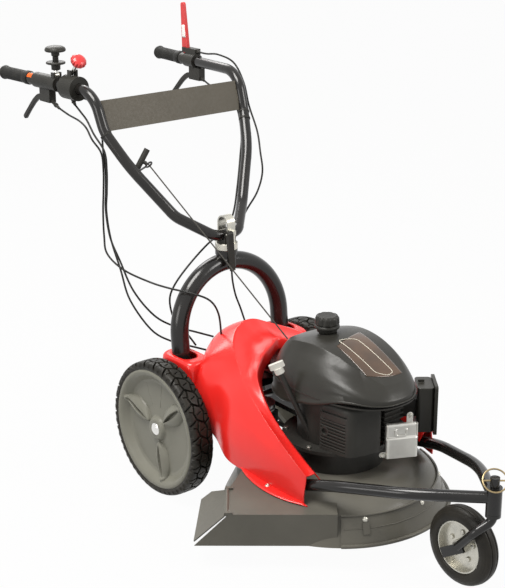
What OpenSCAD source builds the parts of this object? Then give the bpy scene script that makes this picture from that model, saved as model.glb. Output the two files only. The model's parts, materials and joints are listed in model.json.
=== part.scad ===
// Three-wheel walk-behind rough-cut mower: round deck with a side chute, two large rear
// wheels, a swivelling front wheel, a plastic fairing, a vertical-shaft engine and a
// handlebar that swivels and tilts on a hoop. The shapes are first laid out with the rear
// axle at y = 0, forward along -Y, the operator's right along -X and the ground at z = 0.

/* [Rear wheels] */
// Outer diameter of a rear tyre
wheel_d = 360; // [340:1:380]
// Width of a rear tyre
tyre_w = 65; // [50:1:70]
// Diameter of the rim that shows inside the tyre
rim_d = 322; // [300:1:330]
// Distance between the middles of the two rear tyres
track_w = 502; // [496:1:540]
// Diameter of the rear axle
axle_d = 20; // [16:1:24]

/* [Front wheel] */
// Outer diameter of the front tyre
caster_d = 194; // [180:1:198]
// Width of the front tyre
caster_w = 46; // [36:1:50]
// Diameter of the front rim
caster_rim_d = 128; // [110:1:136]
// Distance from the rear axle to the front wheel's axle
wheelbase = 829; // [820:1:870]
// Distance of the front wheel's axle behind its swivel axis
caster_trail = 82; // [78:1:100]

/* [Deck] */
// Diameter of the deck at its lower rim
deck_d = 582; // [570:1:600]
// Distance of the deck's middle ahead of the rear axle
deck_ahead = 394; // [388:1:410]
// Height of the deck's rim above the ground
deck_z = 59; // [45:1:70]
// Height of the sloping skirt
skirt_h = 69; // [60:1:76]
// Height of the deck's flat top above the ground
deck_top_z = 170; // [162:1:172]
// Sheet thickness of deck and chute
sheet = 3; // [2:0.5:4]
// Length of the blade
blade_len = 520; // [480:1:524]

/* [Chute] */
// Length of the chute's front plate along its lower edge
chute_len = 337; // [330:1:345]
// Length of the chute's roof
chute_roof_len = 255; // [240:1:262]
// Depth of the chute behind its front plate
chute_deep = 187; // [170:1:200]
// Height of the front plate's top edge above the ground
chute_z = 141; // [138:1:146]
// Slope of the roof in degrees
chute_rise = 8.7; // [7:0.1:10]
// Slant width of the discharge flap
flap_w = 110; // [90:1:114]
// Slope of the discharge flap in degrees
flap_slope = 45; // [40:1:50]

/* [Fairing] */
// Height of the fairing's ridge at the back
fairing_h = 431; // [425:1:440]
// Distance from the rear axle to the tips of the fairing's legs
fairing_reach = 518; // [505:1:525]
// Half width of the fairing over its legs
fairing_half_w = 219; // [212:1:222]
// Wall of the fairing
fairing_wall = 3; // [2:0.5:4]

/* [Hoop and handlebar] */
// Outer diameter of the hoop's tube
hoop_tube_d = 48; // [42:1:50]
// Half width of the hoop at the middle of its tube
hoop_half_w = 169; // [165:1:171]
// Height of the hoop's highest point at the middle of its tube
hoop_top_z = 571; // [560:1:576]
// Outer diameter of the handlebar's tube
bar_tube_d = 29; // [25:1:30]
// Height of the handlebar's upper run
bar_top_z = 1013; // [990:1:1040]
// Distance of the handlebar's ends behind the rear axle
bar_end_y = 697; // [680:1:720]
// Half width of the handlebar at its ends
bar_end_x = 263; // [255:1:275]
// Wall of the tubes
tube_wall = 2.5; // [2:0.5:3]
// Length of a grip
grip_len = 126; // [110:1:130]
// Outer diameter of a grip
grip_d = 33; // [31:1:36]
// Height of the cross plate along its slope
plate_h = 81; // [70:1:90]

/* [Engine] */
// Height of the engine's mounting flange
engine_z = 225; // [222:1:230]
// Height of the top cover's lower lip
cover_z = 368; // [364:1:372]
// Height of the top cover's highest point
cover_top_z = 480; // [476:1:490]
// Half width of the top cover
cover_half_w = 142; // [136:1:146]
// Half length of the top cover
cover_half_l = 197; // [190:1:200]
// Diameter of the crankshaft
crank_d = 25; // [22:1:28]
// Diameter of the fuel cap
fuel_cap_d = 64; // [56:1:66]

/* [Hidden] */
$fn = 48;

// Colours
red = [0.82, 0.07, 0.06];
deck_grey = [0.42, 0.41, 0.37];
rim_grey = [0.50, 0.50, 0.45];
black = [0.12, 0.11, 0.10];
rubber = [0.06, 0.06, 0.06];
zinc = [0.75, 0.76, 0.70];
steel = [0.60, 0.60, 0.60];
plate_grey = [0.38, 0.36, 0.32];

// Gaps and overruns
// Overrun of every cut past the face it opens
cut = 1;
// Radial clearance of a turning shaft in its bore
run_gap = 0.05;
// Gap between pieces that move past each other
gap = 0.4;
// Half length and rise of the swelling where a bend meets a straight stretch
swell = 1.5;
swell_rise = 0.15;

// Helpers
function unit(v) = v / norm(v);
function flip(p) = [-p[0], p[1], p[2]];
function mix(a, b, t) = a + (b - a) * t;
// One point of a smooth curve through b and c, with a and d as its outer neighbours
function spline_point(a, b, c, d, t) =
  (b * 2 + (c - a) * t + (a * 2 - b * 5 + c * 4 - d) * t * t
  + (b * 3 - a - c * 3 + d) * t * t * t) / 2;
// Smooth curve through all points, with a fixed number of steps between each pair
function spline(p, steps) = let (n = len(p)) [
  for (i = [0 : n - 2], k = [0 : steps - 1])
    spline_point(p[max(i - 1, 0)], p[i], p[i + 1], p[min(i + 2, n - 1)], k / steps),
  p[n - 1]];
// Direction of a curve at one of its points
function heading(p, i) = unit(p[min(i + 1, len(p) - 1)] - p[max(i - 1, 0)]);
// Side direction carried along a curve without twist
function carried(n, t) = unit(n - t * (n * t));

// Moves the layout to the middle of its own footprint
module in_frame() {
  translate([-middle_x, -middle_y, 0]) children();
}

// Turns the Z axis of its children to a direction
module aim(v) {
  rotate([0, acos(v[2] / norm(v)), atan2(v[1], v[0])]) children();
}

// Round bar or tube between two points
module run(a, b, r, bore = 0) {
  translate(a) aim(b - a) difference() {
    cylinder(h = norm(b - a), r = r);
    if (bore > 0) translate([0, 0, -cut]) cylinder(h = norm(b - a) + cut * 2, r = bore);
  }
}

// Round bend between two directions, which starts at a point
module bend(start, u1, u2, bend_r, r) {
  inward = unit(u2 - u1 * (u1 * u2));
  out = -inward;
  turn = cross(out, u1);
  centre = start + inward * bend_r;
  multmatrix([[out[0], u1[0], turn[0], centre[0]], [out[1], u1[1], turn[1], centre[1]],
    [out[2], u1[2], turn[2], centre[2]]])
    rotate_extrude(angle = acos(u1 * u2)) translate([bend_r, 0]) circle(r = r);
}

// Bent rod along points, with one bend radius for each inner point and a slight swelling at each
// end of a bend
module bent_rod(p, radii, r, over = 0) {
  n = len(p);
  dirs = [for (i = [0 : n - 2]) unit(p[i + 1] - p[i])];
  trims = [for (i = [0 : n - 1]) i == 0 || i == n - 1 ? -over
    : radii[i - 1] * tan(acos(dirs[i - 1] * dirs[i]) / 2)];
  for (i = [0 : n - 2]) run(p[i] + dirs[i] * trims[i], p[i + 1] - dirs[i] * trims[i + 1], r);
  for (i = [1 : 1 : n - 2]) {
    first = p[i] - dirs[i - 1] * trims[i];
    last = p[i] + dirs[i] * trims[i];
    bend(first, dirs[i - 1], dirs[i], radii[i - 1], r);
    run(first - dirs[i - 1] * swell, first + dirs[i - 1] * swell, r + swell_rise);
    run(last - dirs[i] * swell, last + dirs[i] * swell, r + swell_rise);
  }
}

// Bent tube with an open bore
module bent_tube(p, radii, r, bore) {
  difference() {
    bent_rod(p, radii, r);
    bent_rod(p, radii, bore, cut);
  }
}

// Solid swept along a cord's route
module cord(route, r, steps, sides = 8) {
  p = spline(route, steps);
  n = len(p);
  t = [for (i = [0 : n - 1]) heading(p, i)];
  first = carried(abs(t[0][0]) < 0.8 ? [1, 0, 0] : [0, 0, 1], t[0]);
  side = [for (i = 0, s = first; i < n; s = carried(s, t[min(i + 1, n - 1)]), i = i + 1) s];
  points = [for (i = [0 : n - 1], k = [0 : sides - 1]) let (a = 360 * k / sides)
    p[i] + (side[i] * cos(a) + cross(t[i], side[i]) * sin(a)) * r];
  walls = [for (i = [0 : n - 2], k = [0 : sides - 1]) let (a = i * sides + k,
    b = i * sides + (k + 1) % sides) each [[a, a + sides, b + sides], [a, b + sides, b]]];
  caps = [for (k = [1 : sides - 2]) each [[0, k, k + 1],
    [(n - 1) * sides, (n - 1) * sides + k + 1, (n - 1) * sides + k]]];
  polyhedron(points = points, faces = concat(walls, caps));
}

// Ring with rounded outer shoulders about the X axis, as a tyre or a collar has
module ring_x(x0, x1, r_in, r_out, shoulder) {
  rotate([90, 0, 90]) rotate_extrude() union() {
    translate([r_in, x0]) square([r_out - shoulder - r_in, x1 - x0]);
    translate([r_in, x0 + shoulder]) square([r_out - r_in, x1 - x0 - shoulder * 2]);
    for (x = [x0 + shoulder, x1 - shoulder]) translate([r_out - shoulder, x]) circle(r = shoulder);
  }
}

// Round bar along X
module bar_x(x0, x1, r) {
  translate([x0, 0, 0]) rotate([0, 90, 0]) cylinder(h = x1 - x0, r = r);
}

// Box between two corners
module box(a, b) {
  translate(a) cube(b - a);
}

// Box with rounded upright edges
module round_box(a, b, r) {
  translate([a[0], a[1], a[2]]) linear_extrude(height = b[2] - a[2]) union() {
    translate([r, 0]) square([b[0] - a[0] - r * 2, b[1] - a[1]]);
    translate([0, r]) square([b[0] - a[0], b[1] - a[1] - r * 2]);
    for (x = [r, b[0] - a[0] - r], y = [r, b[1] - a[1] - r]) translate([x, y]) circle(r = r);
  }
}

// Rear wheels
wheel_r = wheel_d / 2;
tyre_x0 = (track_w - tyre_w) / 2;
tyre_x1 = (track_w + tyre_w) / 2;
tyre_shoulder = tyre_w * 0.2;
rim_r = rim_d / 2;
axle_r = axle_d / 2;
axle_z = wheel_r;
// Rim: width of its rolled edge, setback of that edge, depth and thickness of its disc, and its hub
rim_edge = 15;
rim_setback = 3;
rim_dish = 16;
rim_disc = 8;
rim_hub_r = 27;
// Raised leaf-shaped spokes with a leaf-shaped slot in each
leaf_at = rim_r * 0.55;
leaf_half_l = rim_r * 0.34;
leaf_half_w = rim_r * 0.16;
leaf_h = 9;
leaf_turn = 50;
slot_half_l = rim_r * 0.27;
slot_half_w = rim_r * 0.045;
hub_cap_r = 17;
hub_cap_h = 7;
axle_end_x = tyre_x1 - hub_cap_h - gap;

// Front wheel
caster_r = caster_d / 2;
caster_y = -wheelbase - caster_trail;
caster_shoulder = caster_w * 0.4;
caster_axle_r = 8;
caster_rim_r = caster_rim_d / 2;
caster_rim_wall = 4;
caster_hub_r = 18;
stem_r = 11;
head_r = 18;
head_h = 64;
// Room between the tyre and the swivel head, and the stem's stand above the head
head_room = 18;
stem_stand = 24;
head_z = caster_d + head_room;
stem_top_z = head_z + head_h + stem_stand;
fork_tube_r = 11;
fork_room = 4;
fork_x = -caster_w / 2 - fork_tube_r - fork_room;
fork_drop = 20;
fork_collar_h = 8;
fork_bends = [26, 26];
fork_plate = 6;
fork_plate_w = 24;
fork_plate_len = 72;
fork_plate_turn = -32;
// Places of the fork's arm: shares of the trail and of the tyre's diameter
fork_knee_shares = [0.24, 0.855];
fork_end_shares = [0.8, 0.58];
fork_points = [[0, caster_y, head_z - gap - fork_collar_h / 2], [0, caster_y, head_z - fork_drop],
  [fork_x, caster_y + caster_trail * fork_knee_shares[0], caster_d * fork_knee_shares[1]],
  [fork_x, caster_y + caster_trail * fork_end_shares[0], caster_d * fork_end_shares[1]]];
// Spring ring that locks the stem: its wire, radius, tilt, turn and place below the stem's top
lynch_r = 2;
lynch_ring_r = 28;
lynch_tilt = 42;
lynch_turn = -39.5;
lynch_drop = 8;
lynch_z = stem_top_z - lynch_drop;
lynch_reach = lynch_ring_r * norm([sin(lynch_turn), cos(lynch_tilt) * cos(lynch_turn)]) + lynch_r;

// Deck
deck_r = deck_d / 2;
skirt_bead_r = 5;
skirt_sheet = 2;
skirt_ridge_r = 3;
// Radius of the deck's own skirt inside the front skirt and its bead
skirt_r = deck_r - skirt_bead_r - skirt_sheet - gap;
skirt_top_r = deck_r * 0.86;
skirt_top_z = deck_z + skirt_h;
deck_flat_r = deck_r * 0.515;
dome_run = skirt_top_r - deck_flat_r;
dome_drop = deck_top_z - skirt_top_z;
dome_r = (dome_run * dome_run + dome_drop * dome_drop) / (dome_drop * 2);
deck_hole_r = 40;
// Direction in which the front skirt starts, and its sweep, in degrees
skirt_from = 230;
skirt_sweep = 118;
crank_at = [0, -deck_ahead, 0];

// Chute: direction and share of the deck's radius at which its front plate starts
chute_at = 228.1;
chute_start_share = 0.937;
chute_turn = 140.3;
chute_x = deck_r * chute_start_share * cos(chute_at);
chute_y = -deck_ahead + deck_r * chute_start_share * sin(chute_at);
knuckle_r = 5;
hinge_pin_r = 2.5;
hinge_ear = 8;
hinge_x = chute_roof_len + knuckle_r + gap;
chute_chamfer = 14;
// Outline of the roof: shares of its length and depth
roof_shares = [[0, 0], [1, 0], [1, 0.58], [0.88, 1], [0, 1]];
// Outline of the flap: shares of the chute's depth and of the flap's width
flap_shares = [[0, 0], [0, 1], [0.8, 0.83], [0.78, 0.49], [0.53, 0]];
hinge_long_share = 0.53;
hinge_long = chute_deep * hinge_long_share;

// Rear chassis
side_x = 134;
side_t = 6;
// Share of the deck's distance at which the side plates start, and their height over and under its top
side_start_share = 0.926;
side_up = 45;
side_down = 20;
side_step = 120;
beam_half = hoop_half_w + hoop_tube_d / 2 - tube_wall;
beam_y0 = -14;
beam_y1 = 40;
beam_room = 20;
beam_h = 20;
beam_z0 = axle_z + axle_r + beam_room;
beam_top_z = beam_z0 + beam_h;

// Belt drive
belt_up = 28;
belt_z = deck_top_z + belt_up;
belt_h = 10;
belt_t = 5;
crank_pulley_r = 30;
input_pulley_r = 40;
input_y = -90;
input_r = 8;
pulley_lip = 3;
pulley_lip_h = 3;
idler_side = 92;
idler_back = 132;
idler_at = [idler_side, idler_back - deck_ahead];
idler_pin_r = 6;
idler_tab = 6;
idler_tab_up = 12;
idler_tab_z = deck_top_z + idler_tab_up;
idler_pin_h = 36;
idler_arm_t = 6;
idler_arm_len = 46;
idler_wheel_r = 17;
idler_turn = 128;
gear_box_half = 46;
gear_box_y = 34;
gear_box_down = 30;
gear_box_z = axle_z - gear_box_down;
nose_half = 36;
nose_front = input_y - nose_half;
nose_room = 6;
nose_top_z = belt_z - nose_room;
axle_gear_r = 22;
axle_gear_half = 9;
gear_room = 2;

// Hoop and column
hoop_r = hoop_tube_d / 2;
hoop_lean = 5.4;
hoop_y = 13.5;
hoop_rise = (hoop_top_z - beam_top_z) / cos(hoop_lean);
col_y = hoop_y + (hoop_top_z - beam_top_z) * tan(hoop_lean);
col_up = 35;
col_top_z = hoop_top_z + col_up;
col_r = 27;
col_collar_r = 30;
col_collar_h = 14;
pin_r = 14;
pin_low_z = hoop_top_z - tube_wall;
ring_h = 18;
ring_top_z = col_top_z + ring_h;
saddle_h = 22;
saddle_half = 18;
bar_r = bar_tube_d / 2;
bar_low_z = ring_top_z + saddle_h;
strap_room = 3;
strap_in = bar_r + strap_room;
strap_t = 4;
strap_w = 26;
strap_rise = 30;
lug_w = 12;
lug_out = 9;
lug_up = 8;
lug_y = col_y - strap_in - strap_t - lug_out;
lug_z = bar_low_z + lug_up;
lug_pin_r = 3;
clamp_eye_r = 8;
clamp_lever_len = 96;
clamp_lever_w = 17;
clamp_lever_t = 13;

// Front wishbone: places from the deck to the swivel head, as shares of the deck's radius, of the
// wheelbase and of the rise to the head
wish_r = 14;
wish_up = 38;
wish_z = head_z + wish_up;
wish_shares = [[0.7, 0.543, 0.02], [0.612, 0.7, 0.47], [0.395, 0.923, 0.86]];
wish_points = concat(
  [for (s = wish_shares) [deck_r * s[0], -wheelbase * s[1], mix(deck_top_z, wish_z, s[2])]],
  [[0, caster_y, wish_z]]);
wish_bends = [400, 330];
wish_foot_w = 34;
wish_foot_len = 46;

// Handlebar: shares of its half width, its reach behind the column and its rise
bar_shares = [[1, 1, 1], [0.905, 0.383, 1], [0.878, 0.326, 0.725], [0.745, 0.2346, 0.49],
  [0.426, 0.111, 0.136], [0.1445, 0, 0]];
bar_radii = [75, 110, 400, 80, 38];
grip_cap = 3;
bar_half = [for (s = bar_shares) [-bar_end_x * s[0], mix(col_y, bar_end_y - grip_cap, s[1]),
  mix(bar_low_z, bar_top_z, s[2])]];
bar_points = concat(bar_half, [for (i = [len(bar_half) - 1 : -1 : 0]) flip(bar_half[i])]);
bar_bends = concat(bar_radii, [for (i = [len(bar_radii) - 1 : -1 : 0]) bar_radii[i]]);
grip_dir = unit(bar_half[1] - bar_half[0]);
// Point on the right-hand upper run, a distance ahead of its end
function on_run(d) = bar_half[0] + grip_dir * d;
plate_at_share = 0.604;
plate_mid = mix(bar_half[1], bar_half[2], plate_at_share);
plate_dir = unit(bar_half[1] - bar_half[2]);
plate_lean = atan2(plate_dir[1], plate_dir[2]);
plate_t = 3;
plate_splay = 4;
plate_half = -plate_mid[0];

// Controls: distances ahead of the handlebar's ends and sizes
sleeve_t = 6;
sleeve_r = bar_r + sleeve_t;
band_len = 26;
bracket_from = grip_len + band_len;
bracket_len = 100;
pivot_ahead = 66;
pivot_d = grip_len + pivot_ahead;
pivot_drop = 44;
pivot_r = 4;
lever_eye = 9;
lever_t = 10;
lever_reach = 128;
lever_fall = 84;
// Start and length of the hand lever's two stretches as shares of its reach and fall, and their slopes
lever_shares = [[0, 0, 0.66], [0.5, 0.6, 0.55]];
lever_slopes = [-38, -22];
lever_half_share = 0.7;
cheek_t = 5;
cheek_w = 34;
throttle_ahead = 116;
throttle_d = grip_len + throttle_ahead;
throttle_rise = 24;
post_eye = 7;
post_pin_r = 3;
throttle_rod_r = 5;
throttle_shaft_r = 8;
throttle_neck_r = 11;
throttle_len = 70;
knob_r = 28;
knob_h = 16;
collar_r = 26;
collar_sleeve_r = 12;
collar_h = 6;
collar_sleeve_h = 22;
collar_up = 14;
collar_travel = 12;
gear_d = 315;
gear_r = 32;
gear_half_l = 27;
gear_rise = 40;
gear_lean = 43;
gear_shaft_r = 5;
gear_shaft_len = 44;
gear_knob_r = 21;
gear_knob_share = 0.6;
safety_d = 146;
safety_rise = 28;
safety_len = 134;
safety_lean = 5;
safety_t = 10;
safety_eye = 13;
safety_tip_r = 7;
safety_pin_r = 4;
safety_block = 42;

// Starter: the guide's foot on the right-hand arm, its eye beside it, and the handle's direction
guide_share = 0.12;
guide_foot = mix(bar_half[3], bar_half[4], guide_share);
guide_offset = [45, 3, 16];
guide_eye = guide_foot + guide_offset;
guide_ring_r = 9;
guide_wire_r = 2.5;
rope_r = 1.8;
handle_dir = unit([-0.59, 0.68, 0.435]);
handle_gap = 7;
handle_stem_r = 5;
handle_stem_len = 15;
handle_bar_r = 8;
handle_bar_len = 68;
handle_bar_lie = [-0.61, 0.16, -0.77];
handle_bar_dir = unit(cross(handle_dir, cross(handle_bar_lie, handle_dir)));

// Engine
crank_r = crank_d / 2;
base_r = 120;
base_wall = 5;
belt_slot_half = 58;
flange_r = 137;
flange_t = 9;
case_r = 100;
shroud_t = 4;
fly_r = 95;
fly_up = 8;
fly_z = cover_z + fly_up;
fly_h = 18;
starter_up = 6;
starter_z = fly_z + fly_h + starter_up;
starter_r = 48;
starter_h = 12;
starter_pin_r = 6;
crank_short = 2;
crank_top_z = starter_z - crank_short;
holder_r = 46;
holder_h = 18;
blade_up = 14;
blade_z = deck_z + blade_up;
blade_t = 5;
blade_w = 62;
blade_bolt_r = 10;
blade_bolt_h = 8;
// Top cover: offset from the crankshaft, and the bulge and taper of its outline
cover_side = 12;
cover_ahead = 11;
cover_mid = crank_at + [cover_side, -cover_ahead, 0];
cover_wall = 3;
cover_bulge = 0.8;
cover_taper_share = 0.16;
cover_steps = 40;
// Height of the cover over its lip along its length, from back to front, as shares
cover_rise_shares = [0.70, 0.88, 1.0, 0.97, 0.80, 0.56, 0.28];
// Outline and height of the cover from lip to crown, as shares
cover_ring_shares = [[1, 0], [1.01, 0.22], [0.985, 0.48], [0.92, 0.70], [0.78, 0.88], [0.52, 0.97],
  [0.22, 1]];
// Rope outlet on the cover: shares of its half width, half length and height
rope_out_shares = [-0.58, 0.61, 0.85];
rope_out = cover_mid + [cover_half_w * rope_out_shares[0], cover_half_l * rope_out_shares[1],
  mix(cover_z, cover_top_z, rope_out_shares[2])];
rope_dir = unit(guide_eye - rope_out);
rope_bush_r = 11;
rope_bush_len = 26;
tank_half_w = 60;
tank_half_l = 44;
tank_back = 88;
tank_side = 10;
tank_up = 4;
tank_z = starter_z + starter_h + tank_up;
tank_h = 28;
cap_back = 56;
cap_at = crank_at + [cover_side, cap_back, 0];
cap_z = cover_top_z + gap;
cap_h = 42;
cap_step = 5;
cap_neck_r = 20;
cap_plug = 12;
// Oil filler: shares of the crankcase's radius at its foot and top, and its heights over the flange
oil_foot_shares = [-0.9, -0.08];
oil_top_shares = [-1.48, 0.46];
oil_foot_up = 12;
oil_top_up = 187;
oil_foot = crank_at + [case_r * oil_foot_shares[0], case_r * oil_foot_shares[1], engine_z + oil_foot_up];
oil_top = crank_at + [case_r * oil_top_shares[0], case_r * oil_top_shares[1], engine_z + oil_top_up];
oil_dir = unit(oil_top - oil_foot);
oil_tube_r = 7;
oil_plug_r = 4.5;
oil_plug_len = 14;
oil_cap_r = 12;
oil_cap_h = 14;
oil_cap_bar = 38;
// Muffler guard: its plan's corners as shares of its width and length, its place and its height
guard_w = 110;
guard_l = 124;
guard_side = -105;
guard_ahead = 37;
guard_h = 124;
guard_wall = 3;
guard_shares = [[0, 0], [0.12, -0.85], [1, -1], [1, -0.5]];
guard_at = crank_at + [guard_side, -guard_ahead, engine_z + flange_t + gap];
guard_plan = [for (s = guard_shares) [guard_w * s[0], guard_l * s[1]]];
slat_count = 10;
slat_h = 4;
hole_r = 9;
muffler_r = 22;
muffler_len = 64;
muffler_ahead = 124.5;
muffler_side = -43;
muffler_up = 66;
muffler_turn = -11;
port_r = 12;
// Cylinder, fins, heat shield, carburettor and air filter
barrel_half_w = 26;
barrel_side = 46;
barrel_front = 146;
barrel_up = 26;
barrel_h = 88;
fin_t = 3;
fin_count = 8;
fin_out = 6;
shield_side = 10;
shield_ahead = 166;
shield_at = crank_at + [shield_side, -shield_ahead, 0];
shield_turn = -27;
shield_w = 78;
shield_l = 12;
shield_low = 12;
shield_h = 86;
shield_wall = 2;
shield_tab = 24;
shield_ear = 30;
filter_side = 105;
filter_ahead = 171;
filter_at = crank_at + [filter_side, -filter_ahead, 0];
filter_turn = -39;
filter_w = 42;
filter_l = 78;
filter_up = 33;
filter_h = 116;
filter_round = 10;
filter_cover_t = 8;
filter_cover_out = 6;
latch_w = 16;
latch_h = 8;
latch_t = 5;
carb_l = 52;
carb_w = 36;
carb_h = 45;
carb_up = 65;
carb_back = 25;
stub_r = 14;
bolt_r = 6;
bolt_h = 5;
bolt_count = 6;
bolt_turn = 15;

// Hoop foot covers
foot_cover_in = 126;
foot_cover_out = 208;
foot_cover_y0 = -60;
foot_cover_y1 = 68;
foot_cover_z = 358;
foot_cover_round = 14;

// Fairing: sections from leg tip to the middle of the back, each with outer foot, bulge, shoulder,
// crease, inner edge and inner foot, as shares of half width, reach and height
fairing_shares = [
  [[1, 1, 0.346], [1, 1, 0.4], [0.98, 1, 0.46], [0.97, 1, 0.51], [0.84, 1, 0.51], [0.76, 1, 0.46]],
  [[1.05, 0.87, 0.362], [1.06, 0.87, 0.44], [1.045, 0.87, 0.54], [1, 0.86, 0.63], [0.84, 0.87, 0.59],
    [0.77, 0.87, 0.55]],
  [[1.08, 0.695, 0.386], [1.09, 0.695, 0.5], [1.05, 0.69, 0.63], [0.945, 0.69, 0.725], [0.81, 0.675, 0.735],
    [0.75, 0.675, 0.68]],
  [[1.08, 0.49, 0.4], [1.08, 0.49, 0.555], [0.985, 0.485, 0.72], [0.81, 0.48, 0.825], [0.675, 0.505, 0.86],
    [0.62, 0.515, 0.8]],
  [[0.945, 0.32, 0.45], [0.94, 0.31, 0.61], [0.84, 0.295, 0.78], [0.575, 0.29, 0.9], [0.42, 0.4, 0.905],
    [0.385, 0.41, 0.84]],
  [[0.93, 0.165, 0.535], [0.915, 0.16, 0.695], [0.765, 0.145, 0.84], [0.425, 0.19, 0.935],
    [0.275, 0.365, 0.933], [0.245, 0.38, 0.868]],
  [[0.64, 0.01, 0.56], [0.62, 0.015, 0.72], [0.51, 0.04, 0.87], [0.255, 0.115, 0.965], [0.145, 0.345, 0.95],
    [0.13, 0.355, 0.885]],
  [[0.32, -0.115, 0.57], [0.3, -0.095, 0.74], [0.24, -0.035, 0.9], [0.11, 0.09, 0.995],
    [0.065, 0.33, 0.963], [0.06, 0.34, 0.898]],
  [[0, -0.145, 0.57], [0, -0.12, 0.745], [0, -0.045, 0.915], [0, 0.08, 1], [0, 0.32, 0.965],
    [0, 0.335, 0.9]]];
fairing_steps = 3;
fairing_half = [for (s = fairing_shares) [for (p = s)
  [-fairing_half_w * p[0], -fairing_reach * p[1], fairing_h * p[2]]]];
fairing_last = len(fairing_half) - 1;
fairing_sections = concat(fairing_half,
  [for (i = [fairing_last - 1 : -1 : 0]) [for (p = fairing_half[i]) flip(p)]]);
fairing_lines = [for (k = [0 : len(fairing_sections[0]) - 1])
  spline([for (s = fairing_sections) s[k]], fairing_steps)];
fairing_rings = [for (i = [0 : len(fairing_lines[0]) - 1]) let (c = [for (line = fairing_lines) line[i]])
  concat(spline([c[0], c[1], c[2], c[3]], 2), [(c[3] + c[4]) / 2, c[4], c[5]])];
// Crescent-shaped foot that rests on the chute's roof: chord, depth, place and direction on the roof
foot_chord = 226;
foot_sag = 28;
foot_at = [156, -116];
foot_turn = -47.6;
foot_r = (foot_chord * foot_chord / 4 + foot_sag * foot_sag) / (foot_sag * 2);
foot_lap = 6;

// Cord routes, chosen by hand along the way each cable hangs
clutch_route = [[-250, 442, 950], [-247, 400, 938], [-247, 350, 930], [-256, 304, 920], [-259, 274, 895],
  [-247, 252, 862], [-244, 249, 815], [-246, 249, 760], [-250, 248, 708], [-252, 244, 642], [-260, 220, 600],
  [-242, 172, 564], [-200, 118, 536], [-176, 60, 528], [-150, 4, 524], [-116, -30, 506], [-86, -28, 462],
  [-68, -16, 396]];
throttle_route = [[-226, 436, 984], [-220, 380, 984], [-214, 330, 976], [-210, 296, 944], [-220, 284, 912],
  [-236, 260, 872], [-237, 250, 815], [-238, 250, 760], [-241, 249, 708], [-236, 240, 636], [-228, 210, 578],
  [-220, 162, 504], [-186, 120, 440], [-140, 92, 406], [-90, 66, 386], [-46, 46, 368]];
gear_route = [[-243, 380, 972], [-240, 352, 952], [-244, 318, 936], [-246, 284, 905], [-242, 244, 866],
  [-240, 239, 815], [-242, 239, 760], [-246, 238, 708], [-242, 228, 636], [-240, 190, 560], [-236, 156, 484],
  [-196, 120, 402], [-150, 94, 366], [-100, 70, 346], [-60, 54, 330]];
drive_route = [[250, 468, 966], [244, 420, 954], [240, 360, 948], [238, 318, 932], [234, 284, 900],
  [208, 238, 846], [176, 204, 800], [130, 160, 730], [76, 112, 672], [28, 92, 634], [-22, 90, 616],
  [-95, 84, 570], [-145, 84, 522], [-160, 84, 482], [-148, 78, 426], [-116, 66, 384], [-96, 58, 352]];
safety_route = [[254, 493, 1040], [254, 450, 1040], [256, 400, 1044], [256, 330, 1030], [256, 286, 980],
  [252, 258, 920], [238, 206, 860], [216, 166, 812], [207, 146, 760], [182, 138, 710], [140, 132, 668],
  [92, 108, 636], [64, 90, 610], [50, 84, 560], [46, 80, 510], [52, 74, 460], [62, 64, 420], [72, 52, 372]];
cable_r = 2.6;
cable_steps = 4;

// Footprint of the whole mower without its cables
foot_x0 = chute_x + chute_len * cos(chute_turn);
foot_x1 = max(tyre_x1, deck_r * cos(skirt_from + skirt_sweep));
foot_y0 = caster_y - max(head_r, lynch_reach);
foot_y1 = bar_end_y;
middle_x = (foot_x0 + foot_x1) / 2;
middle_y = (foot_y0 + foot_y1) / 2;

// Places its children at the deck's middle
module at_crank() {
  translate(crank_at) children();
}

// Chute's own layout: X along the front plate, the chute's depth along -Y
module in_chute() {
  translate([chute_x, chute_y, 0]) rotate([0, 0, chute_turn]) children();
}

// Plane of the chute's roof
module on_roof() {
  in_chute() translate([0, 0, chute_z]) rotate([-chute_rise, 0, 0]) children();
}

// Deck's outer form as a solid, which other pieces are cut to fit
module deck_form(inset = 0) {
  at_crank() rotate_extrude() union() {
    polygon([[0, deck_z], [skirt_r - inset, deck_z], [skirt_top_r - inset, skirt_top_z - inset],
      [deck_flat_r, skirt_top_z - inset], [deck_flat_r, deck_top_z - inset], [0, deck_top_z - inset]]);
    intersection() {
      translate([deck_flat_r, deck_top_z - dome_r]) circle(r = dome_r - inset, $fn = 96);
      translate([0, skirt_top_z - inset]) square([skirt_top_r, dome_drop]);
    }
  }
}

module deck_shell() {
  color(deck_grey) in_frame() difference() {
    deck_form();
    translate([0, 0, -cut]) deck_form(sheet);
    at_crank() translate([0, 0, -cut]) cylinder(h = deck_z + cut * 2, r = skirt_r - sheet);
    at_crank() cylinder(h = deck_top_z + cut, r = deck_hole_r);
    in_chute() box([sheet, sheet * 2 - chute_deep, -cut], [chute_len, -sheet, chute_z - sheet]);
  }
}

// Bolted skirt round the front of the deck, with a rolled bead below and a ridge above
module front_skirt() {
  low_r = skirt_r + gap;
  top_r = skirt_top_r + gap;
  color(deck_grey) in_frame() at_crank() rotate([0, 0, skirt_from]) rotate_extrude(angle = skirt_sweep)
    union() {
      polygon([[low_r, deck_z], [low_r + skirt_sheet, deck_z],
        [top_r + skirt_sheet, skirt_top_z], [top_r, skirt_top_z]]);
      translate([deck_r - skirt_bead_r, deck_z + skirt_bead_r]) circle(r = skirt_bead_r);
      translate([top_r + skirt_ridge_r, skirt_top_z]) circle(r = skirt_ridge_r);
    }
}

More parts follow.
